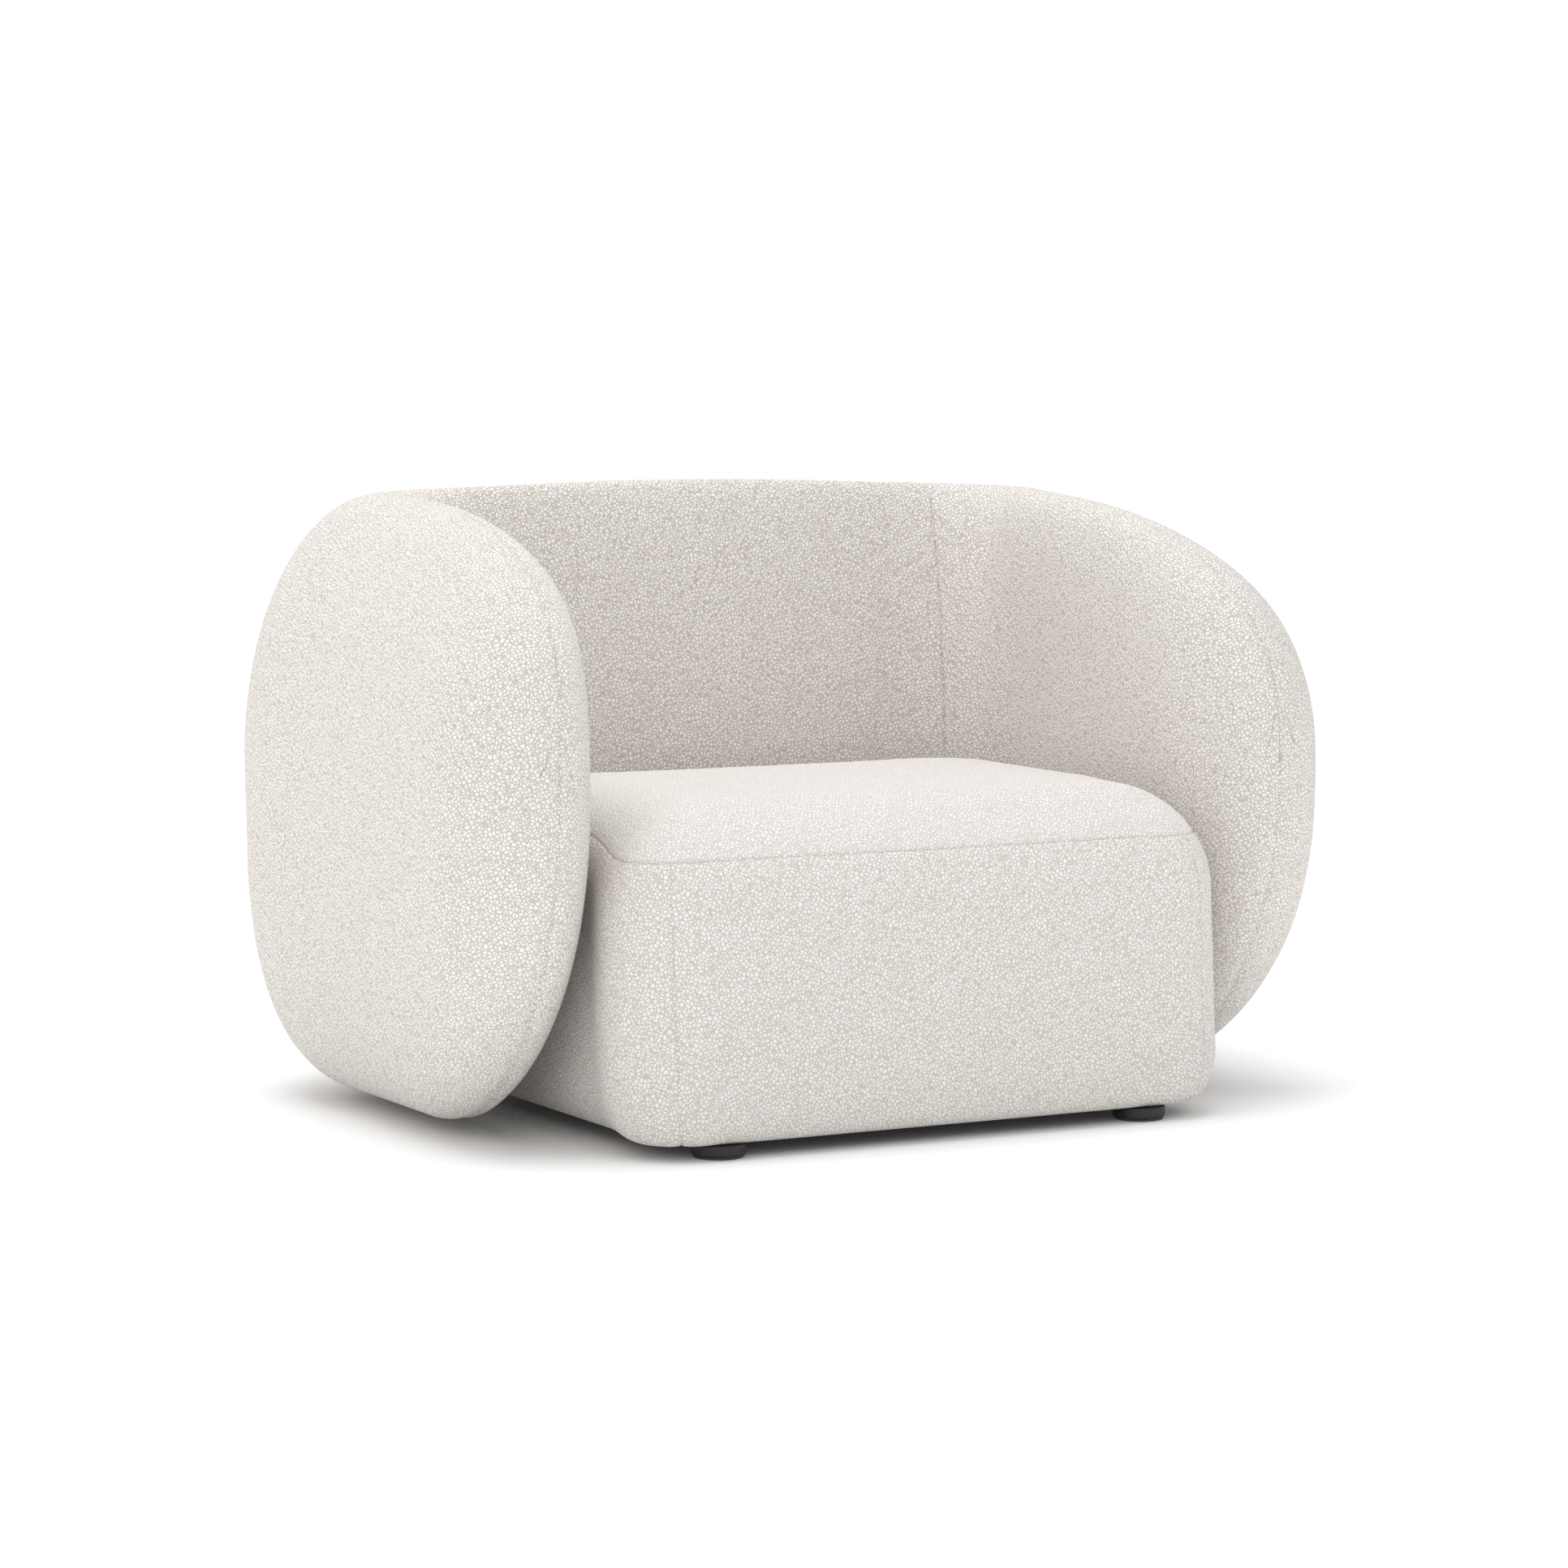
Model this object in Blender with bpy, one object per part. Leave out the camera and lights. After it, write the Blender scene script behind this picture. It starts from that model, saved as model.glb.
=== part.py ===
"""Upholstered armchair: a thick U-shaped padded shell round a rounded seat block on four low feet.

Metres, +Z up. The origin is on the floor under the middle of the chair, the front faces -Y.
"""
import math
import bmesh
import bpy
import numpy as np
from mathutils import Matrix, Vector

# ---- driving dimensions -------------------------------------------------------------------
WIDTH, DEPTH, HEIGHT = 1.14, 0.86, 0.72
CLEARANCE = 0.014            # floor to the lowest upholstery
SKIN = 0.0015                # cover fabric
GAP = 0.0004                 # between touching pieces
PADDING_INSET = SKIN + GAP   # cover's outside to the padding under it

# shell: plan of its crest line, and its section
ARM_OUT, BACK_OUT = 0.108, 0.199         # crest line to the outer face, at the arms and the back
INNER_X, INNER_Y, INNER_R = 0.376, 0.171, 0.130   # inner face's plan and its corner rounding
BACK_LEAN = 0.024                        # the inner back face leans back by this, up and down
CREST_X = WIDTH / 2 - ARM_OUT
CREST_BACK_Y = DEPTH / 2 - BACK_OUT
NOSE_Y = -0.3812                         # front tip of the arms
CORNER_Y = 0.151                         # where the arm's straight line turns to the back
CORNER_POWER = 4.08
CREST_EASING = 0.035                     # the crest line's corners are smoothed over this
TURN_FROM, TURN_TO = 0.437, 0.712        # along the crest line, arm's section turns into back's
MID_Z = 0.401                            # height of the arms' foremost point
RISE_LENGTH, RISE_POWER = 0.70, 2.866    # the arm's top rises over this length
DROP_LENGTH, DROP_POWER = 0.297, 1.93    # its underside falls over this length
ROUND_OUT, ROUND_IN = 0.1315, 0.1657     # plan rounding of the nose, outside and inside
TOP_TUCK = 0.0455                        # the arm's top draws in towards the seat
CROWN_FROM, BACK_CROWN = 0.46, 0.0117    # the back's crest rises by this to its middle
CREST_LOW = HEIGHT - 0.004               # crest height before that rise
OUTER_FLAT, INNER_FLAT = 0.87, 0.83      # section's fullness: lower is boxier
OUTER_UNDER, INNER_ROUND = 0.65, 0.95
SECTION_REACH = 0.11                     # sections turn with the crest line over this length
PATH_SAMPLES, EASING_SAMPLES = 500, 60   # along half the crest line, and to each side
FARTHEST_INNER, HALVINGS = 0.25, 30      # search for the inner face from the crest line
CORNER_SEAM_X = 0.332                    # seam between arm and back, on the crest line

# seat block
SEAT_HALF, SEAT_TOP = 0.372, 0.380
SEAT_FRONT, SEAT_REAR = -DEPTH / 2, 0.152
SEAT_FLARE = 0.018                       # each side is this much wider ahead of the arms
FLARE_FROM, FLARE_TO = -0.25, -0.35
SEAT_SLOPE = 0.030                       # the front leans back by this, bottom to top
SLOPE_FROM, SLOPE_LENGTH = 0.05, 0.30    # where that lean begins, and how fast it grows
SEAT_TOP_R = 0.115
SEAT_BOTTOM_R, SEAT_BOTTOM_IN = 0.062, 0.038   # height and depth of the bottom roll
SEAT_FRONT_R, SEAT_REAR_R = 0.085, 0.110
SEAT_SEAM_Z = 0.325                      # seam below the seat's top roll
CORE_TOP = 0.318                         # firm foam below, soft layer above
CORE_RAISE = 0.004                       # foam's underside above the cover's

# seat base frame
FRAME_INSET = 0.042                      # frame's outline inside the seat's outline
FRAME_HALF, FRAME_FRONT = SEAT_HALF - FRAME_INSET, SEAT_FRONT + FRAME_INSET
FRAME_REAR = SEAT_REAR - FRAME_INSET
RAIL_BOTTOM, RAIL_TOP, RAIL_THICK = 0.026, 0.095, 0.035
RAIL_CORNER_CUT, LINING_CORNER_CUT = 0.030, 0.045
RAIL_BEVEL = 0.002
MIDDLE_RAIL_HALF, MIDDLE_RAIL_RAISE = 0.018, 0.020
BLOCK_LEG, BLOCK_TALL, BLOCK_RAISE = 0.070, 0.050, 0.010
LINING_MARGIN, LINING_RAISE, LINING_THICK = 0.046, 0.003, 0.0008
FOOT_X, FOOT_RADIUS = 0.272, 0.030
FOOT_SETBACK = 0.0115                    # front feet's centres behind the frame's front
FOOT_FRONT_Y = FRAME_FRONT + FOOT_SETBACK
FOOT_EDGE, STUD_BORE = 0.0008, 0.006     # eased lower edge, depth of the stud's bore
GLIDE_MARGIN = 0.002                     # glide's edge inside the foot's
GLIDE_HEIGHT, FOOT_TOP = 0.003, CLEARANCE - 0.0006
STUD_RADIUS, STUD_TOP, STUD_TOP_REAR = 0.004, 0.060, 0.110
WEB_THICK, WEB_WIDTH = 0.0015, 0.050
WEB_PITCH, WEB_END = 0.115, 0.006        # between straps, and from the frame's edge
POCKET_GAP = 0.0025                      # foam core to the frame in it

# shell frame
BOARD_HALF, POST_DEPTH = 0.016, 0.036
SLOT_GAP = 0.001                         # foam to the frame in its slot
SHELL_FRAME_LOW, SHELL_RAIL_TOP = 0.070, 0.135
SHELL_FRAME_HIGH, SHELL_TOP_RAIL = 0.590, 0.045
SHELL_FRAME_FRONT = -0.170
ARM_FRAME_X = CREST_X - 0.010            # middle of the arms' boards
BACK_FRAME_Y = CREST_BACK_Y + 0.018      # middle of the back's boards
FOOT_REAR_Y = BACK_FRAME_Y
BOLT_Z, BOLT_RADIUS = 0.083, 0.004
SIDE_BOLT_Y, REAR_BOLT_X = -0.060, 0.200
HEAD_RADIUS, HEAD_HEIGHT = 0.0075, 0.005
HOLE_START, HOLE_EXTRA = 0.02, 0.06      # bolt holes begin before and end past the bolts

BELOW_FLOOR = -0.05                      # cutters reach down to here

LEFT, RIGHT = -1, 1


# ---- scene and materials ------------------------------------------------------------------
for old in list(bpy.data.objects):
    bpy.data.objects.remove(old, do_unlink=True)


def material(name, color, roughness, metallic=0.0):
    """One Principled material."""
    made = bpy.data.materials.new(name)
    made.use_nodes = True
    shader = made.node_tree.nodes["Principled BSDF"]
    shader.inputs["Base Color"].default_value = (*color, 1.0)
    shader.inputs["Roughness"].default_value = roughness
    shader.inputs["Metallic"].default_value = metallic
    made.diffuse_color = (*color, 1.0)
    return made


BOUCLE = material("boucle_fabric", (0.78, 0.76, 0.72), 0.95)
FOAM = material("foam", (0.88, 0.84, 0.70), 0.9)
FIBRE = material("fibre_layer", (0.92, 0.92, 0.90), 0.95)
WOOD = material("frame_wood", (0.62, 0.44, 0.27), 0.65)
WEBBING = material("elastic_webbing", (0.12, 0.11, 0.10), 0.85)
LINING = material("dust_lining", (0.03, 0.03, 0.03), 0.9)
FOOT_BLACK = material("foot_plastic", (0.02, 0.02, 0.022), 0.5)
FELT = material("glide_felt", (0.10, 0.10, 0.10), 0.95)
STEEL = material("zinc_steel", (0.62, 0.62, 0.60), 0.35, 1.0)


def add_object(name, bm, finish, smooth=False):
    """Wrap a finished bmesh as a named object with its material."""
    mesh = bpy.data.meshes.new(name)
    bm.to_mesh(mesh)
    bm.free()
    if smooth:
        mesh.shade_smooth()
        mesh.set_sharp_from_angle(angle=math.radians(40))
    mesh.materials.append(finish)
    made = bpy.data.objects.new(name, mesh)
    bpy.context.scene.collection.objects.link(made)
    return made


def cutter(name, bm):
    """A guide body that only cuts others."""
    made = add_object(name, bm, LINING)
    made.hide_render = True
    made.display_type = 'WIRE'
    return made


def cut(target, *cutters):
    """Take the cutters' volumes out of the target."""
    for tool in cutters:
        step = target.modifiers.new(tool.name, 'BOOLEAN')
        step.operation = 'DIFFERENCE'
        step.solver = 'EXACT'
        step.object = tool


def skin(target):
    """Give a surface patch the thickness of the cover fabric, outwards."""
    step = target.modifiers.new("fabric", 'SOLIDIFY')
    step.thickness = SKIN
    step.offset = 1.0
    step.use_even_offset = True


# ---- basic bodies -------------------------------------------------------------------------
def box_mesh(low, high, bevel=0.0):
    """A box between two corners, its edges eased when bevel is given."""
    bm = bmesh.new()
    bmesh.ops.create_cube(bm, size=1.0)
    low, high = Vector(low), Vector(high)
    bmesh.ops.scale(bm, vec=high - low, verts=bm.verts)
    bmesh.ops.translate(bm, vec=(low + high) / 2, verts=bm.verts)
    if bevel:
        bmesh.ops.bevel(bm, geom=bm.edges[:], offset=bevel, offset_type='OFFSET', segments=1,
                        profile=0.5, affect='EDGES', material=-1)
    return bm


def box(name, low, high, finish, bevel=0.0):
    return add_object(name, box_mesh(low, high, bevel), finish)


def turned_mesh(profile, steps=20):
    """Turn a profile of (radius, height) points about Z into a closed body."""
    bm = bmesh.new()
    points = [bm.verts.new((radius, 0.0, height)) for radius, height in profile]
    edges = [bm.edges.new(pair) for pair in zip(points, points[1:])]
    bmesh.ops.spin(bm, geom=points + edges, cent=(0, 0, 0), axis=(0, 0, 1),
                   angle=math.tau, steps=steps, use_merge=True)
    bmesh.ops.remove_doubles(bm, verts=bm.verts, dist=1e-6)
    bmesh.ops.recalc_face_normals(bm, faces=bm.faces)
    return bm


def turned(name, profile, finish, turn=Matrix(), place=(0, 0, 0), steps=20):
    """A turned piece, rotated by turn and moved to its place."""
    made = add_object(name, turned_mesh(profile, steps), finish, smooth=True)
    made.matrix_world = Matrix.Translation(place) @ turn
    return made


def bent_grid(columns, rows, place):
    """A grid whose point (column, row) is moved to place(column, row)."""
    bm = bmesh.new()
    across, up = len(columns) - 1, len(rows) - 1
    bmesh.ops.create_grid(bm, x_segments=across, y_segments=up, size=1.0)
    for vert in bm.verts:
        column = columns[round((vert.co.x + 1) / 2 * across)]
        row = rows[round((vert.co.y + 1) / 2 * up)]
        vert.co = place(column, row)
    bmesh.ops.triangulate(bm, faces=bm.faces, quad_method='FIXED', ngon_method='BEAUTY')
    bmesh.ops.remove_doubles(bm, verts=bm.verts, dist=1e-6)
    return bm


def close_ends(bm):
    """Fill the open ends of a tube of faces."""
    rim = [edge for edge in bm.edges if edge.is_boundary]
    bmesh.ops.holes_fill(bm, edges=rim, sides=0)
    bmesh.ops.recalc_face_normals(bm, faces=bm.faces)
    bmesh.ops.triangulate(bm, faces=bm.faces, quad_method='BEAUTY', ngon_method='BEAUTY')


# ---- padded shell -------------------------------------------------------------------------
def run_length(x, y):
    """Arc length along a line of points."""
    return np.concatenate([[0], np.cumsum(np.hypot(np.diff(x), np.diff(y)))])


def plan_path():
    """Crest line in plan, from the right arm's tip to the middle of the back, by arc length."""
    turn = np.linspace(0, math.pi / 2, PATH_SAMPLES)
    x = np.concatenate([[CREST_X], CREST_X * np.cos(turn) ** (2 / CORNER_POWER)])
    rise = (CREST_BACK_Y - CORNER_Y) * np.sin(turn) ** (2 / CORNER_POWER)
    y = np.concatenate([[NOSE_Y], CORNER_Y + rise])
    length = run_length(x, y)
    even = np.linspace(0, length[-1], PATH_SAMPLES)
    x, y, step = np.interp(even, length, x), np.interp(even, length, y), even[1]
    reach = EASING_SAMPLES
    x = np.concatenate([np.full(reach, x[0]), x, -x[-2:-reach - 2:-1]])
    y = np.concatenate([y[0] - step * np.arange(reach, 0, -1), y, y[-2:-reach - 2:-1]])
    weight = np.exp(-(np.arange(-reach, reach + 1) * step / CREST_EASING) ** 2 / 2)
    weight /= weight.sum()
    x, y = np.convolve(x, weight, 'valid'), np.convolve(y, weight, 'valid')
    return run_length(x, y), x, y


PATH_S, PATH_X, PATH_Y = plan_path()
HALF_PATH = float(PATH_S[-1])
CORNER_S = float(np.interp(-CORNER_SEAM_X, -PATH_X, PATH_S))


def plan_point(s):
    """Point of the plan line at arc length s, which may run a little past the middle."""
    side = -1 if s > HALF_PATH else 1
    s = min(max(s, 0.0), 2 * HALF_PATH - s)
    return np.array([side * np.interp(s, PATH_S, PATH_X), np.interp(s, PATH_S, PATH_Y)])


def path_at(s):
    """Point and outward normal of the plan line at arc length s."""
    step = SECTION_REACH
    run = plan_point(s + step) - plan_point(max(s - step, 0.0))
    run /= np.linalg.norm(run)
    return plan_point(s), np.array([run[1], -run[0]])


def ease(s, length, power):
    """Rounded rise from 0 at s = 0 to 1 at s = length."""
    left = max(0.0, 1 - s / length)
    return (1 - left ** power) ** (1 / power)


def smooth_step(value):
    """Smooth rise from 0 to 1 over the range 0 to 1."""
    value = min(max(value, 0.0), 1.0)
    return value * value * (3 - 2 * value)


def inner_reach(here, normal):
    """Distance from the plan line to the inner face, whose plan is a rounded rectangle."""
    near, far = 0.0, FARTHEST_INNER
    for _ in range(HALVINGS):
        reach = (near + far) / 2
        x, y = here - normal * reach
        over_x, over_y = abs(x) - (INNER_X - INNER_R), y - (INNER_Y - INNER_R)
        outside = (math.hypot(max(over_x, 0), max(over_y, 0)) + min(max(over_x, over_y), 0)
                   - INNER_R) > 0
        near, far = (reach, far) if outside else (near, reach)
    return near


def shell_point(s, angle, inset):
    """Point of the shell at path length s; angle 0 faces out, 90 degrees is the crest."""
    if s > HALF_PATH:
        point = shell_point(2 * HALF_PATH - s, angle, inset)
        return Vector((-point.x, point.y, point.z))
    here, normal = path_at(s)
    backness = smooth_step((s - TURN_FROM) / (TURN_TO - TURN_FROM))
    side, lift = math.cos(angle), math.sin(angle)
    if side >= 0:
        reach = (ARM_OUT + (BACK_OUT - ARM_OUT) * backness - inset) * ease(s, ROUND_OUT, 2)
        across = abs(side) ** OUTER_FLAT
        upright = math.copysign(abs(lift) ** (1.0 if lift > 0 else OUTER_UNDER), lift)
        lean = 0.0
    else:
        reach = (inner_reach(here, normal) - inset) * ease(s, ROUND_IN, 2)
        across = -abs(side) ** INNER_FLAT
        upright = math.copysign(abs(lift) ** INNER_ROUND, lift)
        lean = BACK_LEAN * backness * upright * abs(across)
    if upright > 0:
        crest = CREST_LOW + BACK_CROWN * smooth_step((s - CROWN_FROM) / (HALF_PATH - CROWN_FROM))
        z = MID_Z + (crest - inset - MID_Z) * ease(s, RISE_LENGTH, RISE_POWER) * upright
        tuck = TOP_TUCK * ((z - MID_Z) / (HEIGHT - MID_Z)) ** 2 * (1 - backness)
    else:
        fall = MID_Z - CLEARANCE - inset
        z = MID_Z + fall * ease(s, DROP_LENGTH, DROP_POWER) * upright
        tuck = 0.0
    off = reach * across + lean - tuck
    forward = inset * max(0.0, 1 - s / ROUND_OUT)
    return Vector((here[0] + normal[0] * off, here[1] + normal[1] * off + forward, z))


NOSE_STEPS = [0.0, 0.003, 0.010, 0.022, 0.040, 0.064, 0.096, 0.140, 0.200, 0.275, 0.360, 0.440]
ARM_STATIONS = NOSE_STEPS + [float(v) for v in np.linspace(0.490, CORNER_S, 9)]
BACK_STATIONS = [float(v) for v in np.linspace(CORNER_S, 2 * HALF_PATH - CORNER_S, 17)]
OUTER_ANGLES = [math.radians(a) for a in (-90, -78, -62, -44, -24, 0, 22, 42, 60, 76, 90)]
INNER_ANGLES = [math.radians(a) for a in (90, 104, 122, 142, 162, 180, 200, 222, 242, 258, 270)]
ROUND_ANGLES = OUTER_ANGLES + INNER_ANGLES[1:]


def mirrored(stations):
    """The same stations on the left side, kept in rising order."""
    return [2 * HALF_PATH - s for s in reversed(stations)]


def trimmed(stations, first, last):
    """Stations with the seam ends drawn back by the gap, where asked."""
    ends = list(stations)
    ends[0] += GAP if first else 0.0
    ends[-1] -= GAP if last else 0.0
    return ends


def shell_padding(name, stations, first, last):
    """Foam body of one stretch of the shell."""
    bm = bent_grid(trimmed(stations, first, last), ROUND_ANGLES,
                   lambda s, angle: shell_point(s, angle, 2 * PADDING_INSET))
    close_ends(bm)
    return add_object(name, bm, FOAM, smooth=True)


def shell_cover(name, stations, angles, first, last, aside=0.0):
    """Cover panel of the shell; aside draws it away from the panel across the crest seam."""
    def place(s, angle):
        point = shell_point(s, angle, SKIN)
        side = math.copysign(1.0, point.x)
        return point + Vector((side * aside, 0, 0))
    bm = bent_grid(trimmed(stations, first, last), angles, place)
    made = add_object(name, bm, BOUCLE, smooth=True)
    skin(made)
    return made


# ---- rounded seat block -------------------------------------------------------------------
CORNERS = [(RIGHT, SEAT_FRONT, SEAT_FRONT_R, -90), (RIGHT, SEAT_REAR, SEAT_REAR_R, 0),
           (LEFT, SEAT_REAR, SEAT_REAR_R, 90), (LEFT, SEAT_FRONT, SEAT_FRONT_R, 180)]
CORNER_STEPS = 4
LEAST_ROUND = 0.004                      # the outline's corners stay this round inside
STATION_GAP = 0.004                      # least height between a cut end and its neighbour
SEAM_SHARE = 0.02                        # cover panels end this share before their seam
PER_SIDE = CORNER_STEPS + 1


def outline_point(t, inset):
    """Point of the seat's plan outline, counted in corner steps from the front right corner."""
    def whole(index):
        corner, step = divmod(index % (4 * PER_SIDE), PER_SIDE)
        side, y, radius, start = CORNERS[corner]
        back = 1 if y > 0 else -1
        turn = math.radians(start + 90 * step / CORNER_STEPS)
        centre = Vector((side * (SEAT_HALF - radius), y - back * radius))
        round_r = max(radius - inset, LEAST_ROUND)
        extra = radius - inset - round_r
        centre += Vector((side * extra, back * extra))
        return centre + Vector((math.cos(turn), math.sin(turn))) * round_r
    low = math.floor(t)
    return whole(low).lerp(whole(low + 1), t - low)


def seat_profile(inset):
    """(plan inset, height) stations of the seat block from its underside to its top."""
    low, high = CLEARANCE + inset, SEAT_TOP - inset
    bottom_r, top_r = SEAT_BOTTOM_R - inset, SEAT_TOP_R - inset
    bottom_in = SEAT_BOTTOM_IN - inset
    stations = []
    for degrees in (80, 60, 40, 20, 0):
        turn = math.radians(degrees)
        stations.append((inset + bottom_in * (1 - math.cos(turn)),
                         low + bottom_r * (1 - math.sin(turn))))
    for degrees in (0, 18, 36, 54, 72, 90):
        turn = math.radians(degrees)
        stations.append((inset + top_r * (1 - math.cos(turn)), high - top_r * (1 - math.sin(turn))))
    return stations


def seat_between(inset, low_z, high_z):
    """Stations of the profile between two heights, with exact ends."""
    stations = seat_profile(inset)
    heights = [z for _, z in stations]
    insets = [gap for gap, _ in stations]
    inner = [pair for pair in stations
             if low_z + STATION_GAP < pair[1] < high_z - STATION_GAP]
    ends = [(float(np.interp(z, heights, insets)), z) for z in (low_z, high_z)]
    return [ends[0], *inner, ends[1]]


def seat_place(t, station):
    """Point of the seat block: wider ahead of the arms, its front face leaning back."""
    inset, z = station
    x, y = outline_point(t, inset)
    wider = 1 + SEAT_FLARE / SEAT_HALF * smooth_step((FLARE_FROM - y) / (FLARE_FROM - FLARE_TO))
    front = smooth_step((SLOPE_FROM - y) / SLOPE_LENGTH) * max(y / SEAT_FRONT, 0)
    return Vector((x * wider, y + SEAT_SLOPE * front * z / SEAT_TOP, z))


WIDENING = (0.06, 0.13, 0.19, 0.26)      # shares of a side's length where it widens
ALL_ROUND = sorted([*range(4 * PER_SIDE + 1), *(PER_SIDE - 1 + share for share in WIDENING),
                    *(3 * PER_SIDE - share for share in WIDENING)])


def seat_body(name, inset, low_z, high_z, finish):
    """Closed slice of the seat block."""
    bm = bent_grid(ALL_ROUND, seat_between(inset, low_z, high_z), seat_place)
    close_ends(bm)
    return add_object(name, bm, finish, smooth=True)


def seat_cover(name, first, last, low_z, high_z):
    """Cover panel of the seat between two points of its outline and two heights."""
    laps = ALL_ROUND[:-1] + [mark + 4 * PER_SIDE for mark in ALL_ROUND]
    columns = [first + SEAM_SHARE, *(mark for mark in laps if first < mark < last),
               last - SEAM_SHARE]
    bm = bent_grid(columns, seat_between(SKIN, low_z, high_z), seat_place)
    made = add_object(name, bm, BOUCLE, smooth=True)
    skin(made)
    return made


def seat_cover_top(name, low_z):
    """The cover's top panel: the top roll and the sitting surface in one piece."""
    bm = bent_grid(ALL_ROUND, seat_between(SKIN, low_z, SEAT_TOP - SKIN), seat_place)
    rim = [edge for edge in bm.edges
           if edge.is_boundary and min(v.co.z for v in edge.verts) > SEAT_TOP - 0.01]
    bmesh.ops.edgeloop_fill(bm, edges=rim)
    for face in bm.faces:
        face.normal_update()
    top = max(bm.faces, key=lambda face: len(face.verts))
    if top.normal.z < 0:
        top.normal_flip()
    made = add_object(name, bm, BOUCLE, smooth=True)
    skin(made)
    return made


# ---- fasteners' holes ---------------------------------------------------------------------
TOWARDS_REAR = Matrix.Rotation(math.radians(-90), 4, 'X')
SIDE_BOLT_START, SIDE_BOLT_END = FRAME_HALF - RAIL_THICK, ARM_FRAME_X + BOARD_HALF
REAR_BOLT_START, REAR_BOLT_END = FRAME_REAR - RAIL_THICK, BACK_FRAME_Y + BOARD_HALF


def hole(name, radius, length, turn, place):
    """A plain cylinder that cuts a hole along its own Z from place."""
    bm = turned_mesh([(0, 0), (radius, 0), (radius, length), (0, length)], 16)
    bmesh.ops.transform(bm, matrix=Matrix.Translation(place) @ turn, verts=bm.verts)
    return cutter(name, bm)


def bolt_turn(side):
    """Turn that points a side bolt outwards."""
    return Matrix.Rotation(math.radians(90 * side), 4, 'Y')


BOLT_HOLES = {}
for side, word in ((LEFT, "left"), (RIGHT, "right")):
    start = (side * (SIDE_BOLT_START - HOLE_START), SIDE_BOLT_Y, BOLT_Z)
    BOLT_HOLES["side", side] = hole(f"cut_bolt_side_{word}", BOLT_RADIUS + GAP,
                                    SIDE_BOLT_END - SIDE_BOLT_START + HOLE_EXTRA, bolt_turn(side), start)
    start = (side * REAR_BOLT_X, REAR_BOLT_START - HOLE_START, BOLT_Z)
    BOLT_HOLES["rear", side] = hole(f"cut_bolt_rear_{word}", BOLT_RADIUS + GAP,
                                    REAR_BOLT_END - REAR_BOLT_START + HOLE_EXTRA, TOWARDS_REAR, start)

FOOT_PLACES = [("front_left", LEFT, FOOT_FRONT_Y), ("front_right", RIGHT, FOOT_FRONT_Y),
               ("rear_left", LEFT, FOOT_REAR_Y), ("rear_right", RIGHT, FOOT_REAR_Y)]
STUD_HOLES = {}
for where, side, y in FOOT_PLACES:
    top = STUD_TOP if y < 0 else STUD_TOP_REAR
    STUD_HOLES[where] = hole(f"cut_stud_{where}", STUD_RADIUS + GAP, top + GAP,
                             Matrix(), (side * FOOT_X, y, 0.0))
REAR_STUDS = (STUD_HOLES["rear_left"], STUD_HOLES["rear_right"])


# ---- feet ---------------------------------------------------------------------------------
def make_feet():
    """Low round feet, each with a stud into the rail and a felt glide."""
    low = GLIDE_HEIGHT + GAP
    bore = FOOT_TOP - STUD_BORE
    foot = [(0, low), (FOOT_RADIUS - FOOT_EDGE, low), (FOOT_RADIUS, low + FOOT_EDGE),
            (FOOT_RADIUS, FOOT_TOP),
            (STUD_RADIUS + GAP, FOOT_TOP), (STUD_RADIUS + GAP, bore), (0, bore)]
    glide_r = FOOT_RADIUS - GLIDE_MARGIN
    glide = [(0, 0), (glide_r, 0), (glide_r, GLIDE_HEIGHT), (0, GLIDE_HEIGHT)]
    for where, side, y in FOOT_PLACES:
        top = STUD_TOP if y < 0 else STUD_TOP_REAR
        stud = [(0, bore + GAP), (STUD_RADIUS, bore + GAP), (STUD_RADIUS, top), (0, top)]
        place = (side * FOOT_X, y, 0)
        turned(f"foot_{where}", foot, FOOT_BLACK, place=place, steps=28)
        turned(f"foot_glide_{where}", glide, FELT, place=place, steps=28)
        turned(f"foot_stud_{where}", stud, STEEL, place=place, steps=12)


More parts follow.
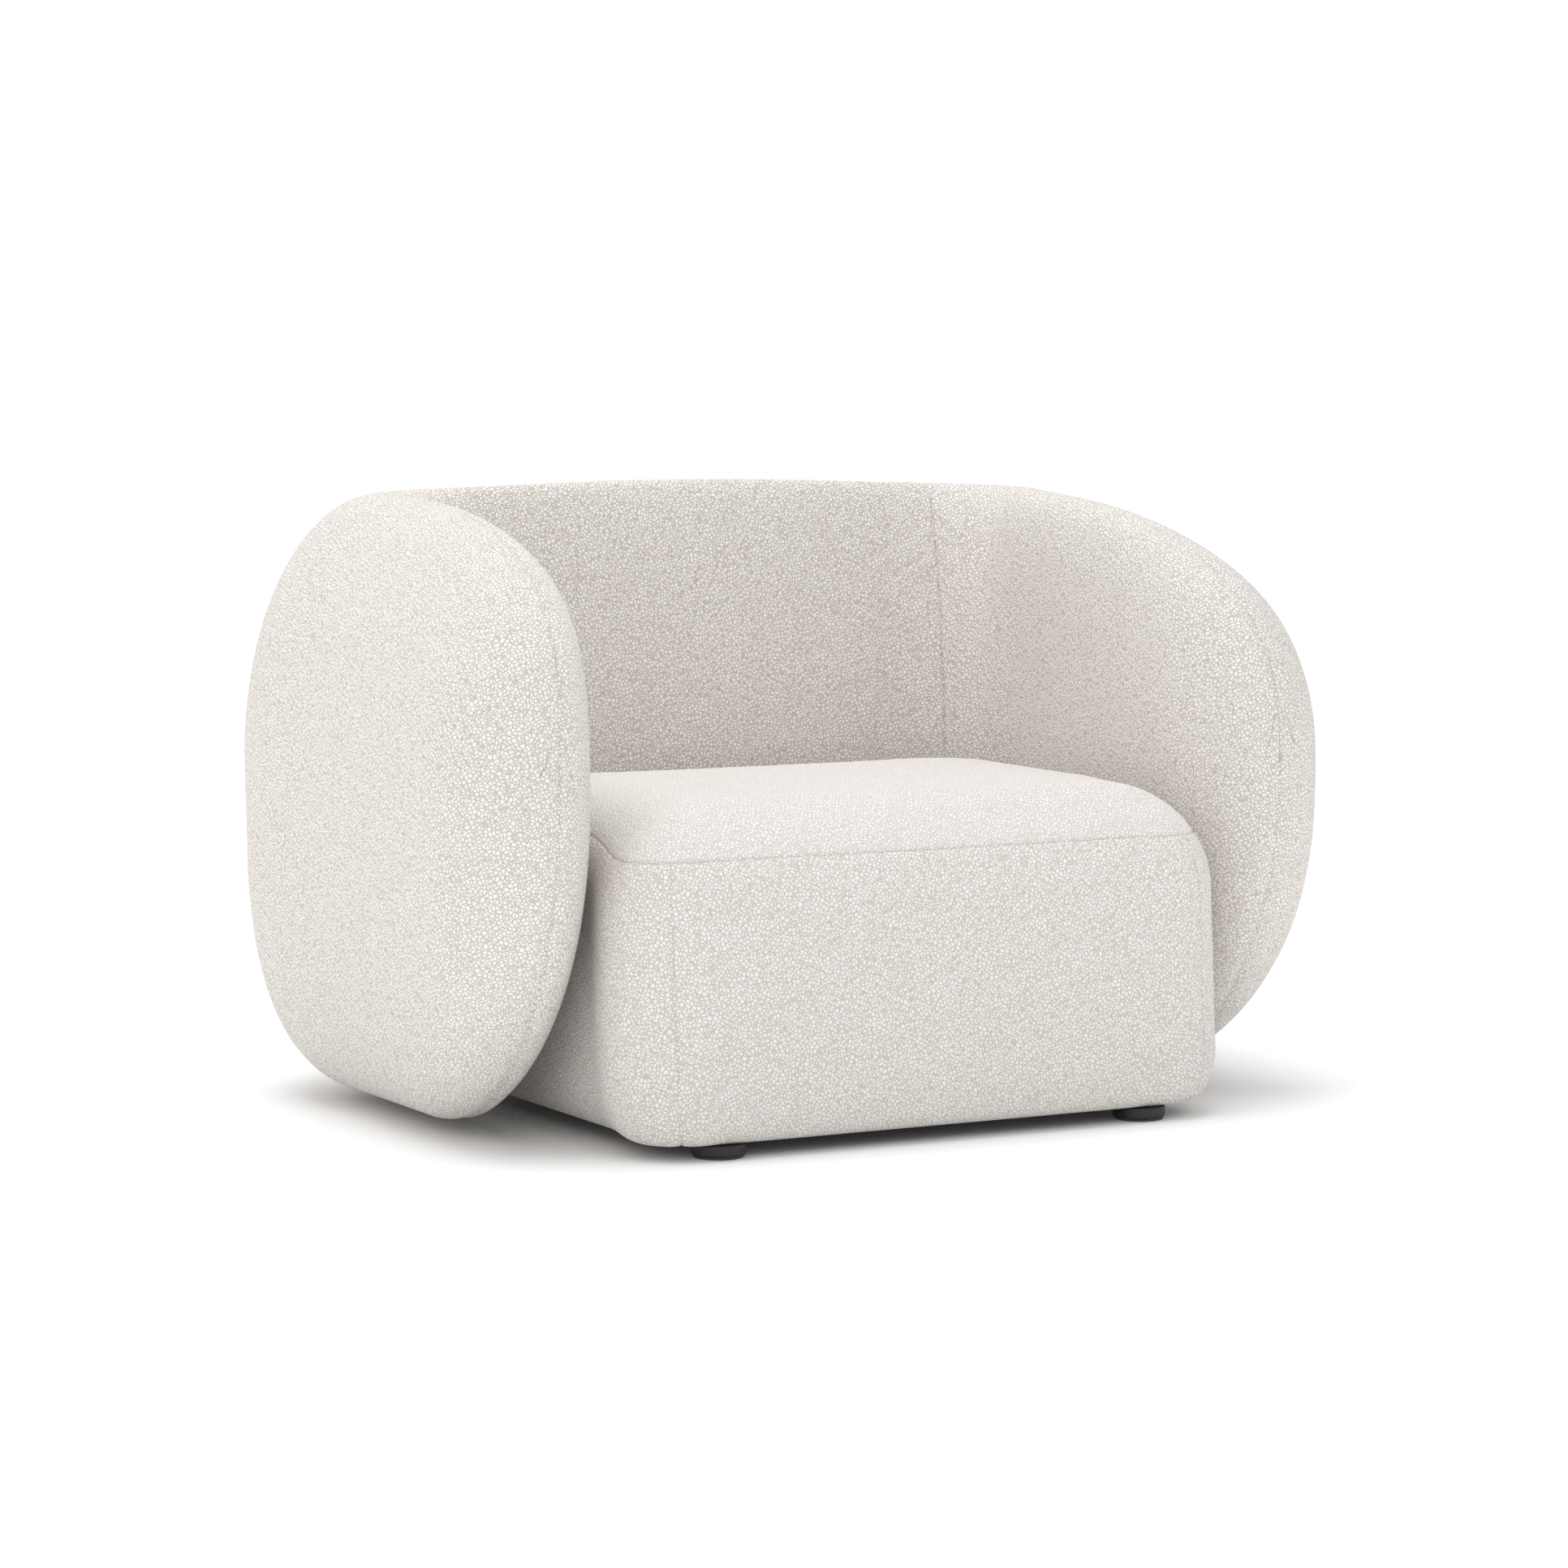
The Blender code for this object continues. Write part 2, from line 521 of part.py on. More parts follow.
# ---- seat base ----------------------------------------------------------------------------
def make_seat_base():
    """Wooden box frame with a middle rail, corner blocks, elastic webbing and a dust lining."""
    inner_half = FRAME_HALF - RAIL_THICK
    low_y, high_y = FRAME_FRONT + RAIL_THICK, FRAME_REAR - RAIL_THICK
    front = end_rail("seat_rail_front", FRAME_FRONT, low_y - GAP)
    rear = end_rail("seat_rail_rear", FRAME_REAR, high_y + GAP)
    cut(front, STUD_HOLES["front_left"], STUD_HOLES["front_right"])
    cut(rear, BOLT_HOLES["rear", LEFT], BOLT_HOLES["rear", RIGHT])
    for side, word in ((LEFT, "left"), (RIGHT, "right")):
        xs = sorted((side * inner_half, side * FRAME_HALF))
        rail = box(f"seat_rail_{word}", (xs[0], low_y, RAIL_BOTTOM), (xs[1], high_y, RAIL_TOP),
                   WOOD, RAIL_BEVEL)
        cut(rail, BOLT_HOLES["side", side])
    box("seat_rail_middle", (-MIDDLE_RAIL_HALF, low_y, RAIL_BOTTOM + MIDDLE_RAIL_RAISE),
        (MIDDLE_RAIL_HALF, high_y, RAIL_TOP), WOOD, RAIL_BEVEL)
    make_corner_blocks(inner_half - GAP, low_y + GAP, high_y - GAP)
    make_webbing(low_y, high_y)
    margin, lining_z = LINING_MARGIN, CLEARANCE + LINING_RAISE
    bm = box_mesh((margin - SEAT_HALF, SEAT_FRONT + margin, lining_z),
                  (SEAT_HALF - margin, SEAT_REAR - margin, lining_z + LINING_THICK))
    cut_corners(bm, [edge for edge in bm.edges if is_upright(edge)], LINING_CORNER_CUT)
    lining = add_object("seat_dust_lining", bm, LINING)
    cut(lining, STUD_HOLES["front_left"], STUD_HOLES["front_right"])


def is_upright(edge):
    """Whether an edge runs up and down."""
    one, two = (vert.co for vert in edge.verts)
    return abs(one.z - two.z) > 1e-4 and abs(one.x - two.x) + abs(one.y - two.y) < 1e-5


def cut_corners(bm, edges, size):
    """Cut some edges off at 45 degrees."""
    bmesh.ops.bevel(bm, geom=edges, offset=size, offset_type='OFFSET', segments=1,
                    profile=0.5, affect='EDGES', material=-1)


def end_rail(name, outer_y, inner_y):
    """Front or rear rail, its outer corners cut to follow the seat's rounded plan."""
    bm = box_mesh((-FRAME_HALF, min(outer_y, inner_y), RAIL_BOTTOM),
                  (FRAME_HALF, max(outer_y, inner_y), RAIL_TOP))
    cut_corners(bm, [edge for edge in bm.edges
                     if is_upright(edge) and abs(edge.verts[0].co.y - outer_y) < 1e-5],
                RAIL_CORNER_CUT)
    return add_object(name, bm, WOOD)


def make_corner_blocks(half, front, rear):
    """Triangular glue blocks inside the frame's four corners."""
    low = RAIL_BOTTOM + BLOCK_RAISE
    for where, side, y, inwards in (("front_left", LEFT, front, 1), ("front_right", RIGHT, front, 1),
                                    ("rear_left", LEFT, rear, -1), ("rear_right", RIGHT, rear, -1)):
        bm = bmesh.new()
        corner = [bm.verts.new((side * half, y, low)),
                  bm.verts.new((side * (half - BLOCK_LEG), y, low)),
                  bm.verts.new((side * half, y + inwards * BLOCK_LEG, low))]
        base = bm.faces.new(corner)
        grown = bmesh.ops.extrude_face_region(bm, geom=[base])
        lifted = [item for item in grown["geom"] if isinstance(item, bmesh.types.BMVert)]
        bmesh.ops.translate(bm, vec=(0, 0, BLOCK_TALL), verts=lifted)
        bmesh.ops.recalc_face_normals(bm, faces=bm.faces)
        add_object(f"corner_block_{where}", bm, WOOD)


def make_webbing(low_y, high_y):
    """Straps across the frame, and straps from front to back lying on them."""
    z = RAIL_TOP + GAP
    ends = FRAME_HALF - WEB_END
    step = (high_y - low_y) / 4
    for number in range(1, 4):
        y = low_y + step * number
        box(f"web_across_{number}", (-ends, y - WEB_WIDTH / 2, z),
            (ends, y + WEB_WIDTH / 2, z + WEB_THICK), WEBBING)
    z += WEB_THICK + GAP
    for number in range(1, 6):
        x = (number - 3) * WEB_PITCH
        box(f"web_along_{number}", (x - WEB_WIDTH / 2, FRAME_FRONT + WEB_END, z),
            (x + WEB_WIDTH / 2, FRAME_REAR - WEB_END, z + WEB_THICK), WEBBING)


# ---- seat upholstery ----------------------------------------------------------------------
def make_seat_upholstery():
    """Firm core shaped over the frame, soft layer on top, and five cover panels."""
    pocket_top = RAIL_TOP + 2 * WEB_THICK + 4 * GAP
    pocket = cutter("cut_seat_pocket", box_mesh(
        (-FRAME_HALF - POCKET_GAP, FRAME_FRONT - POCKET_GAP, BELOW_FLOOR),
        (FRAME_HALF + POCKET_GAP, FRAME_REAR + POCKET_GAP, pocket_top)))
    under = 2 * PADDING_INSET
    core = seat_body("seat_foam_core", under, CLEARANCE + under + CORE_RAISE, CORE_TOP - GAP,
                     FOAM)
    cut(core, pocket, *BOLT_HOLES.values())
    seat_body("seat_soft_layer", under, CORE_TOP, SEAT_TOP - under, FIBRE)
    low = seat_profile(SKIN)[0][1]
    seam_front_right, seam_front_left = 1, 3 * PER_SIDE + 3
    seam_rear_right, seam_rear_left = PER_SIDE + 2, 2 * PER_SIDE + 2
    around = 4 * PER_SIDE
    front = seat_cover("seat_cover_front", seam_front_left, seam_front_right + around, low,
                       SEAT_SEAM_Z - GAP)
    cut(front, STUD_HOLES["front_left"], STUD_HOLES["front_right"])
    right = seat_cover("seat_cover_right", seam_front_right, seam_rear_right, low, SEAT_SEAM_Z - GAP)
    rear = seat_cover("seat_cover_rear", seam_rear_right, seam_rear_left, low, SEAT_SEAM_Z - GAP)
    left = seat_cover("seat_cover_left", seam_rear_left, seam_front_left, low, SEAT_SEAM_Z - GAP)
    seat_cover_top("seat_cover_top", SEAT_SEAM_Z + GAP)
    cut(right, BOLT_HOLES["side", RIGHT])
    cut(left, BOLT_HOLES["side", LEFT])
    cut(rear, BOLT_HOLES["rear", LEFT], BOLT_HOLES["rear", RIGHT])


# ---- shell frame and upholstery -----------------------------------------------------------
def make_shell_frame():
    """Rails and posts inside the arms and the back."""
    top_low = SHELL_FRAME_HIGH - SHELL_TOP_RAIL
    back_y = (BACK_FRAME_Y - BOARD_HALF, BACK_FRAME_Y + BOARD_HALF)
    for side, word in ((LEFT, "left"), (RIGHT, "right")):
        xs = sorted((side * (ARM_FRAME_X - BOARD_HALF), side * (ARM_FRAME_X + BOARD_HALF)))
        ends = (SHELL_FRAME_FRONT + POST_DEPTH + GAP, back_y[0] - GAP)
        rail = box(f"shell_rail_low_{word}", (xs[0], ends[0], SHELL_FRAME_LOW),
                   (xs[1], ends[1], SHELL_RAIL_TOP), WOOD, RAIL_BEVEL)
        cut(rail, BOLT_HOLES["side", side])
        box(f"shell_rail_top_{word}", (xs[0], SHELL_FRAME_FRONT, top_low),
            (xs[1], back_y[0] - GAP, SHELL_FRAME_HIGH), WOOD, RAIL_BEVEL)
        box(f"shell_post_front_{word}", (xs[0], SHELL_FRAME_FRONT, SHELL_FRAME_LOW),
            (xs[1], SHELL_FRAME_FRONT + POST_DEPTH, top_low - GAP), WOOD, RAIL_BEVEL)
        box(f"shell_post_corner_{word}", (xs[0], back_y[0], SHELL_FRAME_LOW),
            (xs[1], back_y[1], SHELL_FRAME_HIGH), WOOD, RAIL_BEVEL)
    reach = ARM_FRAME_X - BOARD_HALF - GAP
    low = box("shell_rail_low_back", (-reach, back_y[0], SHELL_FRAME_LOW),
              (reach, back_y[1], SHELL_RAIL_TOP), WOOD, RAIL_BEVEL)
    cut(low, *REAR_STUDS, BOLT_HOLES["rear", LEFT], BOLT_HOLES["rear", RIGHT])
    box("shell_rail_top_back", (-reach, back_y[0], top_low), (reach, back_y[1], SHELL_FRAME_HIGH),
        WOOD, RAIL_BEVEL)


def frame_slot():
    """U-shaped slot in the shell's foam, open below, that the frame stands in."""
    room = BOARD_HALF + SLOT_GAP
    front = SHELL_FRAME_FRONT - SLOT_GAP
    wide, narrow = ARM_FRAME_X + room, ARM_FRAME_X - room
    far, near = BACK_FRAME_Y + room, BACK_FRAME_Y - room
    outline = [(-wide, front), (-wide, far), (wide, far), (wide, front),
               (narrow, front), (narrow, near), (-narrow, near), (-narrow, front)]
    bm = bmesh.new()
    floor = bm.faces.new([bm.verts.new((x, y, BELOW_FLOOR)) for x, y in outline])
    grown = bmesh.ops.extrude_face_region(bm, geom=[floor])
    lifted = [item for item in grown["geom"] if isinstance(item, bmesh.types.BMVert)]
    bmesh.ops.translate(bm, vec=(0, 0, SHELL_FRAME_HIGH + SLOT_GAP - BELOW_FLOOR), verts=lifted)
    bmesh.ops.recalc_face_normals(bm, faces=bm.faces)
    return cutter("cut_frame_slot", bm)


def make_shell_upholstery():
    """Foam of the two arms and the back, and the five cover panels over them."""
    slot = frame_slot()
    right = shell_padding("arm_foam_right", ARM_STATIONS, False, True)
    left = shell_padding("arm_foam_left", mirrored(ARM_STATIONS), True, False)
    back = shell_padding("back_foam", BACK_STATIONS, True, True)
    cut(right, slot, BOLT_HOLES["side", RIGHT])
    cut(left, slot, BOLT_HOLES["side", LEFT])
    cut(back, slot, *REAR_STUDS, BOLT_HOLES["rear", LEFT], BOLT_HOLES["rear", RIGHT])
    shell_cover("arm_cover_outer_right", ARM_STATIONS, OUTER_ANGLES, False, True, GAP)
    shell_cover("arm_cover_outer_left", mirrored(ARM_STATIONS), OUTER_ANGLES, True, False, GAP)
    inner = shell_cover("arm_cover_inner_right", ARM_STATIONS, INNER_ANGLES, False, True, -GAP)
    cut(inner, BOLT_HOLES["side", RIGHT])
    inner = shell_cover("arm_cover_inner_left", mirrored(ARM_STATIONS), INNER_ANGLES, True, False,
                        -GAP)
    cut(inner, BOLT_HOLES["side", LEFT])
    cover = shell_cover("back_cover", BACK_STATIONS, ROUND_ANGLES[1:-1], True, True)
    cut(cover, *REAR_STUDS, BOLT_HOLES["rear", LEFT], BOLT_HOLES["rear", RIGHT])


def make_joining_bolts():
    """Bolts that hold the shell to the seat base, one at each side and two at the rear."""
    def profile(length):
        head = -HEAD_HEIGHT - GAP
        return [(0, head), (HEAD_RADIUS, head), (HEAD_RADIUS, -GAP), (BOLT_RADIUS, -GAP),
                (BOLT_RADIUS, length), (0, length)]
    for side, word in ((LEFT, "left"), (RIGHT, "right")):
        turned(f"joining_bolt_side_{word}", profile(SIDE_BOLT_END - SIDE_BOLT_START), STEEL,
               bolt_turn(side), (side * SIDE_BOLT_START, SIDE_BOLT_Y, BOLT_Z), 12)
        turned(f"joining_bolt_rear_{word}", profile(REAR_BOLT_END - REAR_BOLT_START), STEEL,
               TOWARDS_REAR, (side * REAR_BOLT_X, REAR_BOLT_START, BOLT_Z), 12)


make_feet()
make_seat_base()
make_seat_upholstery()
make_shell_frame()
make_shell_upholstery()
make_joining_bolts()
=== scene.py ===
"""Upholstered armchair: bouclé covers, padding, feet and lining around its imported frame.

Metres, +Z up, front towards -Y. The padded shell and the seat block are swollen by a cloth
simulation, then covered by fine panels that meet in sewn seams.
"""

import math
import bmesh
import bpy
import numpy as np
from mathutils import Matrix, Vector
from mathutils.kdtree import KDTree


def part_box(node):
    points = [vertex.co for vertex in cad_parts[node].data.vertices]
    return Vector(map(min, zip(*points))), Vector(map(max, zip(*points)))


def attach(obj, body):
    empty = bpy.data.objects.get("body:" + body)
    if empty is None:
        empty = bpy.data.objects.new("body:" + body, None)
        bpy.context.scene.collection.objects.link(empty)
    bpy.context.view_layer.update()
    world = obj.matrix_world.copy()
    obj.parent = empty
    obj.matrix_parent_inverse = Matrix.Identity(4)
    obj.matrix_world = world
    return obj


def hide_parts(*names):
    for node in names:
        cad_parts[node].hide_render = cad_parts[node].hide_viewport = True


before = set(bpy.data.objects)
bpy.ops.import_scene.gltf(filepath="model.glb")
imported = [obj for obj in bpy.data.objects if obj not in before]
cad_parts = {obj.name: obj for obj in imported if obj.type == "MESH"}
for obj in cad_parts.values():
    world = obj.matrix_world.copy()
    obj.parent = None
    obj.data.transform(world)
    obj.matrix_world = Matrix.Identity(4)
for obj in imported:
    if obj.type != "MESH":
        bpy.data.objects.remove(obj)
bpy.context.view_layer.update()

# ---- driving dimensions, as in the frame ---------------------------------------------------
WIDTH, DEPTH, HEIGHT = 1.14, 0.86, 0.72
CLEARANCE = 0.014
ARM_OUT, BACK_OUT = 0.108, 0.199         # crest line to the outer face, at the arms and the back
INNER_X, INNER_Y, INNER_R = 0.376, 0.171, 0.130   # inner face's plan and its corner rounding
BACK_LEAN = 0.024
CREST_X = WIDTH / 2 - ARM_OUT
CREST_BACK_Y = DEPTH / 2 - BACK_OUT
NOSE_Y = -0.3812
CORNER_Y = 0.151
CORNER_POWER = 4.08
CREST_EASING = 0.035                     # the crest line's corners are smoothed over this
TURN_FROM, TURN_TO = 0.437, 0.712        # along the crest line, arm's section turns into back's
MID_Z = 0.401
RISE_LENGTH, RISE_POWER = 0.70, 2.866
DROP_LENGTH, DROP_POWER = 0.297, 1.93
ROUND_OUT, ROUND_IN = 0.1315, 0.1657
TOP_TUCK = 0.0455
CROWN_FROM, BACK_CROWN = 0.46, 0.0117    # the back's crest rises by this to its middle
CREST_LOW = HEIGHT - 0.004
OUTER_FLAT, INNER_FLAT = 0.87, 0.83      # section's fullness: lower is boxier
OUTER_UNDER, INNER_ROUND = 0.65, 0.95
SECTION_REACH = 0.11                     # sections turn with the crest line over this length
PATH_SAMPLES, EASING_SAMPLES = 500, 60
FARTHEST_INNER, HALVINGS = 0.25, 30
CORNER_SEAM_X = 0.332

SEAT_HALF, SEAT_FLARE = 0.371, 0.018     # half width between the arms, and more ahead of them
FLARE_FROM, FLARE_TO = -0.25, -0.35
SEAT_TOP, SEAT_CROWN = 0.380, 0.006
SEAT_FRONT, SEAT_REAR = -DEPTH / 2, 0.154
SEAT_SLOPE = 0.030                       # the front face leans back by this, bottom to top
SLOPE_FROM, SLOPE_LENGTH = 0.05, 0.30
TOP_ROLL_FRONT, TOP_ROLL_REAR = 0.115, 0.060
BOTTOM_ROLL, BOTTOM_IN = 0.062, 0.038    # height and depth of the bottom roll
CORNER_FRONT, CORNER_REAR = 0.085, 0.110
FRONT_SEAM_SHARE = 0.70                  # front corner seams' place on their arcs, from the side
SEAT_SEAM_Z = 0.325
LINING_MARGIN, LINING_POCKET = 0.042, 0.0075
LEAST_ROUND = 0.006                      # the outline's corners stay this round inside

# ---- seams and padding ---------------------------------------------------------------------
SWELL = 0.0015                           # padding starts this much smaller and swells back
SWELL_CAP = 0.0020                       # most that a point of the padding moves
HELD_HEIGHT = 0.040                      # the frame holds the padding this far up from below
SHELL_VOXEL, SEAT_VOXEL = 0.010, 0.009
SEAM_DEPTH, SEAM_WIDTH = 0.0014, 0.0017  # sewn groove
SHOULDER_DEPTH, SHOULDER_WIDTH = 0.0011, 0.009
PUCKER_PITCH, PUCKER = 0.0085, 0.0003    # stitches pull the groove at this pitch
SEAM_GAP = 0.00005
SEAM_HOLD, SEAM_HOLD_WIDTH = 0.35, 0.02  # thread holds this share of the swelling, this far
PANEL_STEP, GUIDE_STEP = 0.0065, 0.02    # mesh size of the covers, and of what is swollen
FIRST_STEP, STEP_GROWTH = 0.0007, 1.28   # mesh size at a seam, and how it grows away from it
SEAM_LINE_STEP = 0.0008
MERGE = 1e-6
SHARP_EDGE, SHARP_TURNED = math.radians(60), math.radians(50)

# cloth simulation
FRAMES, PRESSURE = 20, 4.0
CLOTH_QUALITY, CLOTH_MASS, STIFFNESS, BENDING = 4, 0.4, 30, 2.0
SMOOTHING_ROUNDS, NEAREST, NEAREST_SOFTNESS = 24, 6, 0.002


# ---- shell shape ---------------------------------------------------------------------------
def run_length(x, y):
    """Arc length along a line of points."""
    return np.concatenate([[0], np.cumsum(np.hypot(np.diff(x), np.diff(y)))])


def plan_path():
    """Crest line in plan, from the right arm's tip to the middle of the back, by arc length."""
    turn = np.linspace(0, math.pi / 2, PATH_SAMPLES)
    x = np.concatenate([[CREST_X], CREST_X * np.cos(turn) ** (2 / CORNER_POWER)])
    rise = (CREST_BACK_Y - CORNER_Y) * np.sin(turn) ** (2 / CORNER_POWER)
    y = np.concatenate([[NOSE_Y], CORNER_Y + rise])
    length = run_length(x, y)
    even = np.linspace(0, length[-1], PATH_SAMPLES)
    x, y, step = np.interp(even, length, x), np.interp(even, length, y), even[1]
    reach = EASING_SAMPLES
    x = np.concatenate([np.full(reach, x[0]), x, -x[-2:-reach - 2:-1]])
    y = np.concatenate([y[0] - step * np.arange(reach, 0, -1), y, y[-2:-reach - 2:-1]])
    weight = np.exp(-(np.arange(-reach, reach + 1) * step / CREST_EASING) ** 2 / 2)
    weight /= weight.sum()
    x, y = np.convolve(x, weight, 'valid'), np.convolve(y, weight, 'valid')
    return run_length(x, y), x, y


PATH_S, PATH_X, PATH_Y = plan_path()
HALF_PATH = float(PATH_S[-1])
CORNER_S = float(np.interp(-CORNER_SEAM_X, -PATH_X, PATH_S))


def ease(s, length, power):
    """Rounded rise from 0 at s = 0 to 1 at s = length."""
    left = np.maximum(0.0, 1 - s / length)
    return (1 - left ** power) ** (1 / power)


def smooth_step(value):
    """Smooth rise from 0 to 1 over the range 0 to 1."""
    value = np.clip(value, 0, 1)
    return value * value * (3 - 2 * value)


def plan_at(s):
    """Point and outward normal of the crest line at some arc lengths, up to its middle."""
    ahead, behind = s + SECTION_REACH, np.maximum(s - SECTION_REACH, 0)
    side = np.where(ahead > HALF_PATH, -1, 1)
    ahead = np.minimum(ahead, 2 * HALF_PATH - ahead)
    run_x = side * np.interp(ahead, PATH_S, PATH_X) - np.interp(behind, PATH_S, PATH_X)
    run_y = np.interp(ahead, PATH_S, PATH_Y) - np.interp(behind, PATH_S, PATH_Y)
    size = np.hypot(run_x, run_y)
    here = np.interp(s, PATH_S, PATH_X), np.interp(s, PATH_S, PATH_Y)
    return *here, run_y / size, -run_x / size


def inner_distance(x, y, normal_x, normal_y):
    """Distance from the crest line to the inner face, whose plan is a rounded rectangle."""
    near, far = np.zeros_like(x), np.full_like(x, FARTHEST_INNER)
    for _ in range(HALVINGS):
        reach = (near + far) / 2
        over_x = np.abs(x - normal_x * reach) - (INNER_X - INNER_R)
        over_y = y - normal_y * reach - (INNER_Y - INNER_R)
        outside = (np.hypot(np.maximum(over_x, 0), np.maximum(over_y, 0))
                   + np.minimum(np.maximum(over_x, over_y), 0) - INNER_R) > 0
        near, far = np.where(outside, reach, near), np.where(outside, far, reach)
    return near


def shell_points(s, angle, inset):
    """Points of the shell; s and angle broadcast; angle 0 faces out, 90 degrees is the crest."""
    s, angle = np.asarray(s, float), np.asarray(angle, float)
    mirrored = s > HALF_PATH
    s = np.where(mirrored, 2 * HALF_PATH - s, s)
    here_x, here_y, normal_x, normal_y = plan_at(s)
    backness = smooth_step((s - TURN_FROM) / (TURN_TO - TURN_FROM))
    inwards = inner_distance(here_x, here_y, normal_x, normal_y) - inset
    outwards = ARM_OUT + (BACK_OUT - ARM_OUT) * backness - inset
    side, lift = np.cos(angle), np.sin(angle)
    outer = side >= 0
    reach = np.where(outer, outwards * ease(s, ROUND_OUT, 2), inwards * ease(s, ROUND_IN, 2))
    across = np.where(outer, np.abs(side) ** OUTER_FLAT, -np.abs(side) ** INNER_FLAT)
    power = np.where(outer, np.where(lift > 0, 1.0, OUTER_UNDER), INNER_ROUND)
    upright = np.sign(lift) * np.abs(lift) ** power
    lean = np.where(outer, 0.0, BACK_LEAN * backness * upright * np.abs(across))
    crown = BACK_CROWN * smooth_step((s - CROWN_FROM) / (HALF_PATH - CROWN_FROM))
    rise = (CREST_LOW + crown - inset - MID_Z) * ease(s, RISE_LENGTH, RISE_POWER) * upright
    fall = (MID_Z - CLEARANCE - inset) * ease(s, DROP_LENGTH, DROP_POWER) * upright
    z = MID_Z + np.where(upright > 0, rise, fall)
    tuck = TOP_TUCK * (np.maximum(z - MID_Z, 0) / (HEIGHT - MID_Z)) ** 2 * (1 - backness)
    off = reach * across + lean - tuck
    forward = inset * np.maximum(0.0, 1 - s / ROUND_OUT)
    x, y = here_x + normal_x * off, here_y + normal_y * off + forward
    x, y, z, mirrored = np.broadcast_arrays(x, y, z, mirrored)
    return np.stack([np.where(mirrored, -x, x), y, z], -1)


def arm_stations(step):
    """Path lengths from the tip to the corner seam, evenly spaced on the surface."""
    grid = CORNER_S * np.linspace(0, 1, 4000) ** 3
    lines = [shell_points(grid, math.radians(a), 0.0) for a in (90, 0, 180, 270)]
    steps = np.mean([np.linalg.norm(np.diff(line, axis=0), axis=1) for line in lines], axis=0)
    grown = np.concatenate([[0], np.cumsum(steps)])
    count = max(8, round(grown[-1] / step))
    return np.interp(np.linspace(0, grown[-1], count), grown, grid)


def graded(length, step):
    """Distances from a seam to length away: fine at the seam, growing to step."""
    marks, size = [0.0], FIRST_STEP
    while marks[-1] + size < length - size / 2:
        marks.append(marks[-1] + size)
        size = min(size * STEP_GROWTH, step)
    marks.append(length)
    return np.array(marks)


# ---- meshes --------------------------------------------------------------------------------
def grid_mesh(points):
    """A grid whose point (row, column) goes to points[row, column], its seams merged."""
    rows, columns = points.shape[:2]
    bm = bmesh.new()
    bmesh.ops.create_grid(bm, x_segments=columns - 1, y_segments=rows - 1, size=1.0)
    for vert in bm.verts:
        column = round((vert.co.x + 1) / 2 * (columns - 1))
        row = round((vert.co.y + 1) / 2 * (rows - 1))
        vert.co = points[row, column]
    bmesh.ops.remove_doubles(bm, verts=bm.verts, dist=MERGE)
    return bm


def close_up(bm):
    """Fill the open ends and turn the faces outwards."""
    rim = [edge for edge in bm.edges if edge.is_boundary]
    if rim:
        bmesh.ops.holes_fill(bm, edges=rim, sides=0)
    bmesh.ops.recalc_face_normals(bm, faces=bm.faces)


def as_object(name, bm, finish):
    """Wrap a finished bmesh as a named smooth object with its material."""
    mesh = bpy.data.meshes.new(name)
    bm.to_mesh(mesh)
    bm.free()
    mesh.shade_smooth()
    if finish:
        mesh.materials.append(finish)
    made = bpy.data.objects.new(name, mesh)
    bpy.context.scene.collection.objects.link(made)
    return made


def places(mesh):
    """Vertex positions of a mesh as an array."""
    found = np.empty(len(mesh.vertices) * 3)
    mesh.vertices.foreach_get("co", found)
    return found.reshape(-1, 3)


